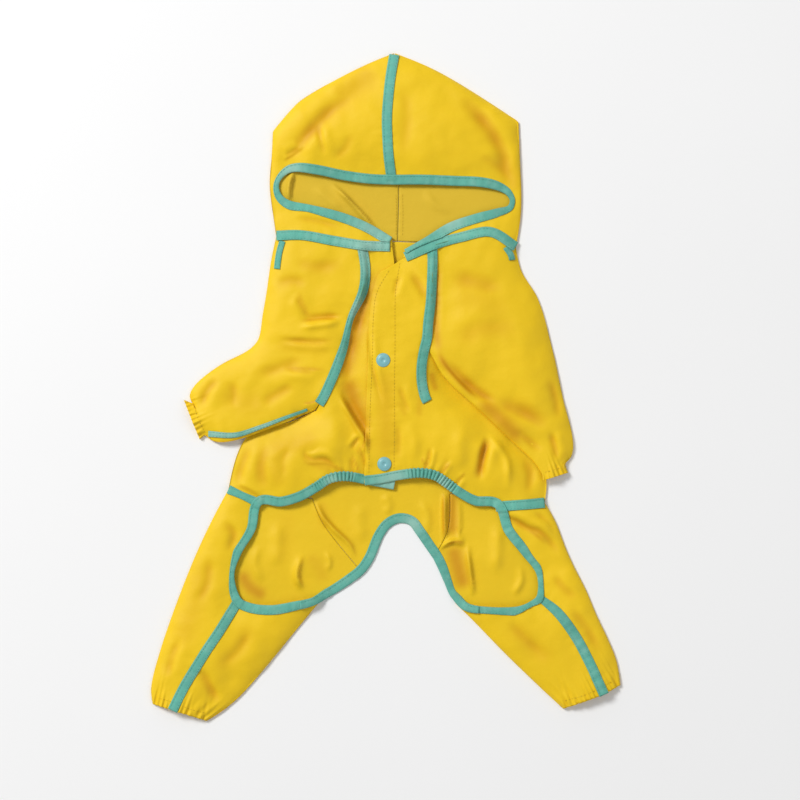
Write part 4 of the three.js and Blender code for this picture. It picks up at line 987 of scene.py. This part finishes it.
class Graph:
    """A material whose shader is fed with Values."""

    def __init__(self, name, **fixed):
        self.material = bpy.data.materials.new(name)
        self.material.use_nodes = True
        self.tree = self.material.node_tree
        self.shader = self.tree.nodes["Principled BSDF"]
        for label, value in fixed.items():
            self.shader.inputs[label.replace("_", " ")].default_value = value

    def node(self, kind, settings, sockets, output=0):
        made = self.tree.nodes.new(kind)
        for label, value in settings.items():
            setattr(made, label, value)
        for label, value in sockets.items():
            if isinstance(value, Value):
                self.tree.links.new(value.socket, made.inputs[label])
            else:
                made.inputs[label].default_value = value
        return Value(self, made.outputs[output])

    def feed(self, label, value):
        self.tree.links.new(value.socket, self.shader.inputs[label])

    def noise(self, scale, detail=3.0, roughness=0.5, stretch=(1, 1, 1)):
        place = self.node("ShaderNodeTexCoord", {}, {}, "Object")
        place = self.node("ShaderNodeMapping", {}, {"Vector": place, "Scale": stretch})
        return self.node("ShaderNodeTexNoise", {}, {
            "Vector": place, "Scale": scale, "Detail": detail, "Roughness": roughness}, "Fac")

    def mixed(self, share, first, second):
        """A mix of two colours. The numbers are the colour sockets of the node."""
        return self.node("ShaderNodeMix", {"data_type": "RGBA"}, {0: share, 6: first, 7: second}, 2)

    def marked(self, label):
        """A value that is painted on the mesh."""
        return self.node("ShaderNodeAttribute", {"attribute_name": label}, {}, "Fac")

    def weave(self, pitch, turn=0.0):
        """Crossing threads of this pitch in metres, as a value from -1 to 1."""
        place = self.node("ShaderNodeTexCoord", {}, {}, "Object")
        place = self.node("ShaderNodeMapping", {}, {"Vector": place, "Rotation": (0, 0, turn)})
        split = self.tree.nodes.new("ShaderNodeSeparateXYZ")
        self.tree.links.new(place.socket, split.inputs[0])
        x, y = (Value(self, split.outputs[k]) * (2 * math.pi / pitch) for k in (0, 1))
        return x.sine() * y.sine()

    def bump(self, height, strength, distance):
        return self.node("ShaderNodeBump", {}, {"Height": height, "Strength": strength, "Distance": distance})


def shade(tone, factor=1.0):
    """A colour made darker or lighter, with its alpha."""
    return (*(c * factor for c in tone), 1.0)


def shell_material(look):
    g = Graph("shell_cloth", Specular_IOR_Level=0.25, Sheen_Weight=0.03, Sheen_Roughness=0.4)
    cloth = tuple(look.shell_color)
    mottle = g.noise(14, 4, 0.6)
    fine = g.noise(160, 3, 0.6)
    painted_shade = g.marked("painted_shade")
    inside = g.marked("inside")
    base = g.mixed((mottle * 1.6 - 0.3).clipped(), shade(cloth, 0.93), shade(cloth, 1.05))
    base = g.mixed((fine * 0.24).clipped(), base, shade((cloth[0], cloth[1] * 0.86, cloth[2] * 0.7)))
    # Painted shade: the cloth in folds and under doubled layers is mixed towards the shadow colour
    base = g.mixed((painted_shade * 0.88).clipped(), base, shade(look.shadow_color))
    base = g.mixed(inside * 0.85, base, shade(look.inside_color))
    g.feed("Base Color", base)
    g.feed("Roughness", 0.46 + mottle * 0.12 + inside * 0.15)
    crumple = g.noise(75, 5, 0.55, (1, 1.3, 1))
    height = g.weave(0.0009) * 0.05 + crumple * 0.9 + fine * 0.16
    g.feed("Normal", g.bump(height, 0.55, 0.0009))
    return g.material


def binding_material(look):
    g = Graph("binding_cloth", Specular_IOR_Level=0.4, Sheen_Weight=0.25, Sheen_Roughness=0.35)
    teal = tuple(look.binding_color)
    streak = g.noise(95, 4, 0.65, (1, 1, 0.4))
    patch = g.noise(22, 2, 0.5)
    base = g.mixed((patch * 1.7 - 0.35).clipped(), shade(teal, 0.8), shade(teal, 1.1))
    # Painted highlight: pale streaks, and the painted spots from the mesh, where the bindings catch the light
    base = g.mixed((streak * 2.4 - 1.15).clipped() * 0.55, base, shade(look.binding_pale))
    painted_highlight = g.marked("painted_highlight")
    base = g.mixed((painted_highlight * 0.8).clipped(), base, shade(look.binding_pale))
    g.feed("Base Color", base)
    g.feed("Roughness", 0.5 + patch * 0.15)
    height = g.weave(0.0008, 0.785) * 0.25 + streak * 0.8
    g.feed("Normal", g.bump(height, 0.6, 0.0006))
    return g.material


def thread_material(name, colour):
    g = Graph(name, Specular_IOR_Level=0.5)
    tone = g.noise(900, 2, 0.5)
    g.feed("Base Color", g.mixed(tone, shade(colour, 0.75), shade(colour, 1.1)))
    g.feed("Roughness", 0.45 + tone * 0.2)
    g.feed("Normal", g.bump(tone, 0.5, 0.0002))
    return g.material


def snap_material(look):
    g = Graph("snap_plastic", Specular_IOR_Level=0.55, Coat_Weight=0.15, Coat_Roughness=0.3)
    colour = tuple(look.snap_color)
    tone = g.noise(220, 3, 0.5)
    g.feed("Base Color", g.mixed(tone, shade(colour, 0.88), shade(colour, 1.08)))
    g.feed("Roughness", 0.32 + tone * 0.12)
    g.feed("Normal", g.bump(g.noise(1400, 2, 0.5), 0.15, 0.0001))
    return g.material


def floor_material():
    g = Graph("pale_floor", Specular_IOR_Level=0.1)
    tone = g.noise(3, 2, 0.5)
    g.feed("Base Color", g.mixed(tone, (0.9, 0.9, 0.9, 1), (0.93, 0.93, 0.93, 1)))
    g.feed("Roughness", 0.8 + tone * 0.1)
    return g.material


def colour(name, description, default):
    """A colour property."""
    return bpy.props.FloatVectorProperty(
        name=name, description=description, subtype="COLOR", size=3, min=0, max=1, default=default)


class RaincoatLook(bpy.types.PropertyGroup):
    """Sizes and colours of the coat that can be changed."""

    shell_color: colour("Shell", "Colour of the outer cloth", (0.86, 0.575, 0.010))
    inside_color: colour("Inside", "Colour of the cloth's inner side", (0.69, 0.46, 0.030))
    # The colour that the painted shade of folds and doubled cloth is mixed towards
    shadow_color: colour("Hollows", "Colour of the cloth deep in its folds", (0.62, 0.27, 0.003))
    binding_color: colour("Binding", "Colour of the bindings", (0.125, 0.47, 0.375))
    binding_pale: colour("Pale binding", "Colour where the bindings catch the light", (0.34, 0.60, 0.50))
    snap_color: colour("Snaps", "Colour of the snap caps", (0.205, 0.485, 0.515))
    fold_strength: bpy.props.FloatProperty(
        name="Folds", description="Share of the creases' height", subtype="FACTOR", min=0, max=2, default=1.5)
    pucker_height: bpy.props.FloatProperty(
        name="Puckers", description="Height of the puckers beside seams, in millimetres", min=0, max=1,
        default=0.28)


# The finished panels, by node
MADE = {}


def settle(piece, slot, *nodes):
    """States the piece's body and hides the CAD nodes it stands for. The slot is not used."""
    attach(piece, "root")
    if nodes:
        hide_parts(*nodes)
    return piece


class RAINCOAT_OT_panels(bpy.types.Operator):
    """Make the nine cloth panels with their folds"""

    bl_idname = "raincoat.panels"
    bl_label = "Cloth panels"

    def execute(self, context):
        look = context.scene.raincoat_look
        reliefs = draw_reliefs(look)
        material = shell_material(look)
        walls = {name: smoothed_copy(name, 2) for name in PANELS}
        joined = bmesh.new()
        for bm in walls.values():
            spare = bpy.data.meshes.new("spare")
            bm.to_mesh(spare)
            joined.from_mesh(spare)
            bpy.data.meshes.remove(spare)
        cover = BVHTree.FromBMesh(joined)
        joined.free()
        for name, bm in walls.items():
            mark_skins(bm)
            refine(bm, cover)
            piece = dress_panel(name, bm, reliefs, material)
            MADE[name] = settle(piece, "shell_fabric", name)
        return {"FINISHED"}


# The gathered stretch of each hem's binding, in millimetres from its end at the placket
HEM_GATHERED = {"left": (38, 73), "right": (40, 83)}
SHOULDER_WIDTH = 0.6
# How far the face binding keeps from the neck seams
NECK_ROOM = 3.6


def underarm_width(share):
    """The underarm binding comes out from under the sleeve little by little."""
    return 0.22 + 0.36 * share


def rim_lift(along):
    """The hem's bindings lie lower where the two fronts lap."""
    return 0.3 + 0.3 * smooth_step(25, 35, along)


def binding_jobs():
    """The bindings in the order they are laid: the CAD nodes that each stands for, and how it is laid."""
    curve = centripetal
    face = np.concatenate([curve(HOOD_FACE["left"]), curve(HOOD_FACE["right"])[::-1][1:]])
    neck_seams = [(evenly(curve(HOOD_NECK[side]), 4), NECK_ROOM) for side in SIDES]
    jobs = {
        "hood_centre": (["hood_centre_tape"], dict(path=curve(HOOD_CENTRE), cut=(0.6, 4))),
        "raglan_left": (["raglan_tape_left"], dict(path=curve(RAGLAN["left"]), cut=(1, 7), lift=0.65)),
        "raglan_right": (["raglan_tape_right"], dict(path=curve(RAGLAN["right"]), cut=(1, 1), lift=0.8)),
        "underarm_left": (["underarm_tape_left"], dict(
            path=curve(UNDERARM), width=underarm_width, lift=0.5)),
    }
    for side, end_cut in (("left", 0), ("right", 7)):
        jobs[f"shoulder_{side}"] = ([f"shoulder_tape_{side}"], dict(
            path=curve(SHOULDERS[side]), cut=(0, end_cut), width=lambda share: SHOULDER_WIDTH))
    for side in SIDES:
        jobs[f"neck_{side}"] = ([f"neck_tape_{side}"], dict(
            path=curve(HOOD_NECK[side]), cut=(2, 0), lift=0.7))
    jobs["face"] = (["face_tape"], dict(path=face, cut=(0.5, 0.5), side=1, keep=neck_seams))
    for side in SIDES:
        jobs[f"waist_{side}"] = ([f"waist_tape_{side}"], dict(path=curve(WAIST[side]), lift=0.75))
        jobs[f"leg_{side}"] = ([f"leg_tape_{side}"], dict(path=curve(LEG_SEAM[side]), cut=(1, 0)))
    for side, turn in (("left", -1), ("right", 1)):
        rim = curve(HEM[side][::-1] + OPENING[side][1:] + LOOP[side][1:])
        jobs[f"rim_{side}"] = ([f"hem_tape_{side}", f"opening_tape_{side}", f"loop_tape_{side}"], dict(
            path=rim, cut=(0.5, 0), side=turn, crinkle=HEM_GATHERED[side], step=FINE_STEP,
            crossing=(0, JOINT), lift=rim_lift))
    jobs["tail"] = (["arch_tape", "crotch_tape_left", "crotch_tape_right"], dict(
        path=curve(TAIL), side=1, lift=0.25, crossing=(JOINT, JOINT)))
    return jobs


class RAINCOAT_OT_bindings(bpy.types.Operator):
    """Lay the teal bindings on the panels and sew them on"""

    bl_idname = "raincoat.bindings"
    bl_label = "Bindings"

    def execute(self, context):
        look = context.scene.raincoat_look
        sewn = (binding_material(look), thread_material("binding_thread", tuple(look.binding_color)))
        ground = Ground(MADE.values())
        beneath_lap = Ground(panel for label, panel in MADE.items() if label != "belly_right")
        for name, (nodes, job) in binding_jobs().items():
            on = beneath_lap if name == "rim_left" else ground
            piece = binding(name + "_binding", ground=on, materials=sewn, **job)
            ground.add(piece)
            beneath_lap.add(piece)
            paint_highlight_spots(piece)
            settle(piece, "binding_fabric", *nodes)
        return {"FINISHED"}


# Painted highlights where the bindings catch the light: centre and reach
PAINTED_HIGHLIGHT_SPOTS = [
    ((-14, 128), 24), ((60, 150), 14), ((-150, -40), 22), ((-110, -35), 20), ((6, -84), 16),
    ((25, -123), 9), ((-85, 193), 12), ((-24, 70), 10), ((-48, -84), 7), ((52, -86), 7),
]


def paint_highlight_spots(piece):
    """Marks the painted highlights, where the bindings catch the light."""
    mesh = piece.data
    co = np.empty(len(mesh.vertices) * 3)
    mesh.vertices.foreach_get("co", co)
    x, y = co.reshape(-1, 3).T[:2] / MM
    painted_highlight = np.zeros(len(x))
    for (cx, cy), reach in PAINTED_HIGHLIGHT_SPOTS:
        painted_highlight = np.maximum(painted_highlight, np.exp(-((x - cx) ** 2 + (y - cy) ** 2) / reach**2))
    mesh.attributes.new("painted_highlight", "FLOAT", "POINT").data.foreach_set("value", painted_highlight.astype(np.float32))


HOOD_INNER_SEAM = [(12.3, 136), (12.6, 160), (12.2, 176)]
SEAM_TO_ROW = 3
CUFF_TO_ROW = 7
COAT_MIDDLE = np.array([0.0, 40.0])


class RAINCOAT_OT_sewing(bpy.types.Operator):
    """Sew the placket, the hood's inner seam and the cuffs"""

    bl_idname = "raincoat.sewing"
    bl_label = "Stitch rows"

    def execute(self, context):
        look = context.scene.raincoat_look
        ground = Ground(MADE.values())
        thread = thread_material("shell_thread", tuple(c * 0.8 for c in look.shell_color))
        rows = {"placket_stitches": PLACKET_ROW, "placket_edge_stitches": PLACKET_EDGE_ROW}
        for label, offset in (("left", -SEAM_TO_ROW), ("right", SEAM_TO_ROW)):
            rows[f"hood_seam_stitches_{label}"] = [(x + offset, y) for x, y in HOOD_INNER_SEAM]
        for name, line in rows.items():
            settle(stitch_row(name, line, ground, thread), "shell_fabric")
        for name, line in CUFFS.items():
            path = evenly(centripetal(line), 3)
            ahead = path[-1] - path[0]
            inward = np.array([-ahead[1], ahead[0]]) / np.hypot(*ahead)
            if np.dot(COAT_MIDDLE - path[0], inward) < 0:
                inward = -inward
            row = [tuple(p + inward * CUFF_TO_ROW) for p in path[1:-1]]
            settle(stitch_row(f"{name}_cuff_stitches", row, ground, thread), "shell_fabric")
        return {"FINISHED"}


# A snap cap from its top to its underside: radius and height
SNAP_PROFILE = [
    (0, 1.55), (1.2, 1.6), (1.6, 1.95), (2.4, 2.15), (3.6, 2.1), (4.6, 1.85), (5.0, 1.62), (5.4, 1.66),
    (5.9, 1.5), (6.25, 1.05), (6.3, 0.6), (6.1, 0.2), (5.8, 0.0), (0, 0.0),
]
SNAP_TURNS = 48
SNAP_SUNK = 0.2


class RAINCOAT_OT_snaps(bpy.types.Operator):
    """Set the two snap caps on the placket"""

    bl_idname = "raincoat.snaps"
    bl_label = "Snaps"

    def execute(self, context):
        look = context.scene.raincoat_look
        plastic = snap_material(look)
        ground = Ground([MADE["belly_right"]])
        for name, (x, y) in SNAPS.items():
            seat = ground.height(x, y) - SNAP_SUNK
            bm = bmesh.new()
            rings = []
            for radius, z in SNAP_PROFILE:
                turns = 1 if radius == 0 else SNAP_TURNS
                rings.append([
                    bm.verts.new(Vector((x + radius * math.cos(t), y + radius * math.sin(t), seat + z)) * MM)
                    for t in (2 * math.pi * k / turns for k in range(turns))
                ])
            for upper, lower in zip(rings, rings[1:]):
                for k in range(SNAP_TURNS):
                    n = (k + 1) % SNAP_TURNS
                    ends = ((upper, k), (lower, k), (lower, n), (upper, n))
                    corners = dict.fromkeys(ring[i % len(ring)] for ring, i in ends)
                    bm.faces.new(list(corners))
            bmesh.ops.recalc_face_normals(bm, faces=bm.faces)
            settle(mesh_object(name + "_cap", bm, plastic), "snap_plastic", name)
        return {"FINISHED"}


# The camera looks straight down on the middle of the photo, which shows this many metres
LENS, SENSOR = 110, 36
PHOTO_MIDDLE = (0.01305, -0.0117)
PHOTO_WIDTH = 0.72
FLOOR_SIZE = 3.0
FLOOR_DEPTH = 0.0003
SKY_LIGHT = 0.40
# Lights: the place, the size and the power
LIGHTS = {
    "key_light": ((-2.3, 1.9, 2.9), 1.2, 134),
    "fill_light": ((1.5, -0.8, 1.7), 1.6, 6),
}


class RAINCOAT_OT_stage(bpy.types.Operator):
    """Set the floor, the studio light and the camera straight above"""

    bl_idname = "raincoat.stage"
    bl_label = "Stage"

    def execute(self, context):
        scene = context.scene
        bm = bmesh.new()
        bmesh.ops.create_grid(bm, x_segments=8, y_segments=8, size=FLOOR_SIZE)
        floor = mesh_object("floor", bm, floor_material())
        floor.location.z = -FLOOR_DEPTH
        camera = bpy.data.objects.new("camera", bpy.data.cameras.new("camera"))
        scene.collection.objects.link(camera)
        camera.data.lens = LENS
        camera.data.sensor_width = SENSOR
        camera.location = (*PHOTO_MIDDLE, LENS * PHOTO_WIDTH / SENSOR)
        scene.camera = camera
        scene.view_settings.view_transform = "Standard"
        world = bpy.data.worlds.new("studio")
        world.use_nodes = True
        background = world.node_tree.nodes["Background"].inputs
        background["Color"].default_value = (1, 1, 1, 1)
        background["Strength"].default_value = SKY_LIGHT
        scene.world = world
        for name, (place, size, power) in LIGHTS.items():
            light = bpy.data.objects.new(name, bpy.data.lights.new(name, "AREA"))
            light.data.size = size
            light.data.energy = power
            light.location = place
            light.rotation_euler = (-Vector(place)).to_track_quat("-Z", "Y").to_euler()
            scene.collection.objects.link(light)
        return {"FINISHED"}


class RAINCOAT_PT_panel(bpy.types.Panel):
    """The coat's pieces and its look"""

    bl_idname = "RAINCOAT_PT_panel"
    bl_label = "Raincoat"
    bl_space_type = "VIEW_3D"
    bl_region_type = "UI"
    bl_category = "Raincoat"

    def draw(self, context):
        look = context.scene.raincoat_look
        for name in RaincoatLook.__annotations__:
            self.layout.prop(look, name)
        for operator in OPERATORS:
            self.layout.operator(operator.bl_idname)


OPERATORS = (
    RAINCOAT_OT_panels, RAINCOAT_OT_bindings, RAINCOAT_OT_sewing, RAINCOAT_OT_snaps, RAINCOAT_OT_stage)
CLASSES = (RaincoatLook, *OPERATORS, RAINCOAT_PT_panel)


def register():
    for each in CLASSES:
        bpy.utils.register_class(each)
    bpy.types.Scene.raincoat_look = bpy.props.PointerProperty(type=RaincoatLook)


def unregister():
    del bpy.types.Scene.raincoat_look
    for each in reversed(CLASSES):
        bpy.utils.unregister_class(each)


def main():
    register()
    for make in (bpy.ops.raincoat.panels, bpy.ops.raincoat.bindings, bpy.ops.raincoat.sewing,
                 bpy.ops.raincoat.snaps, bpy.ops.raincoat.stage):
        make()


if __name__ == "__main__":
    main()
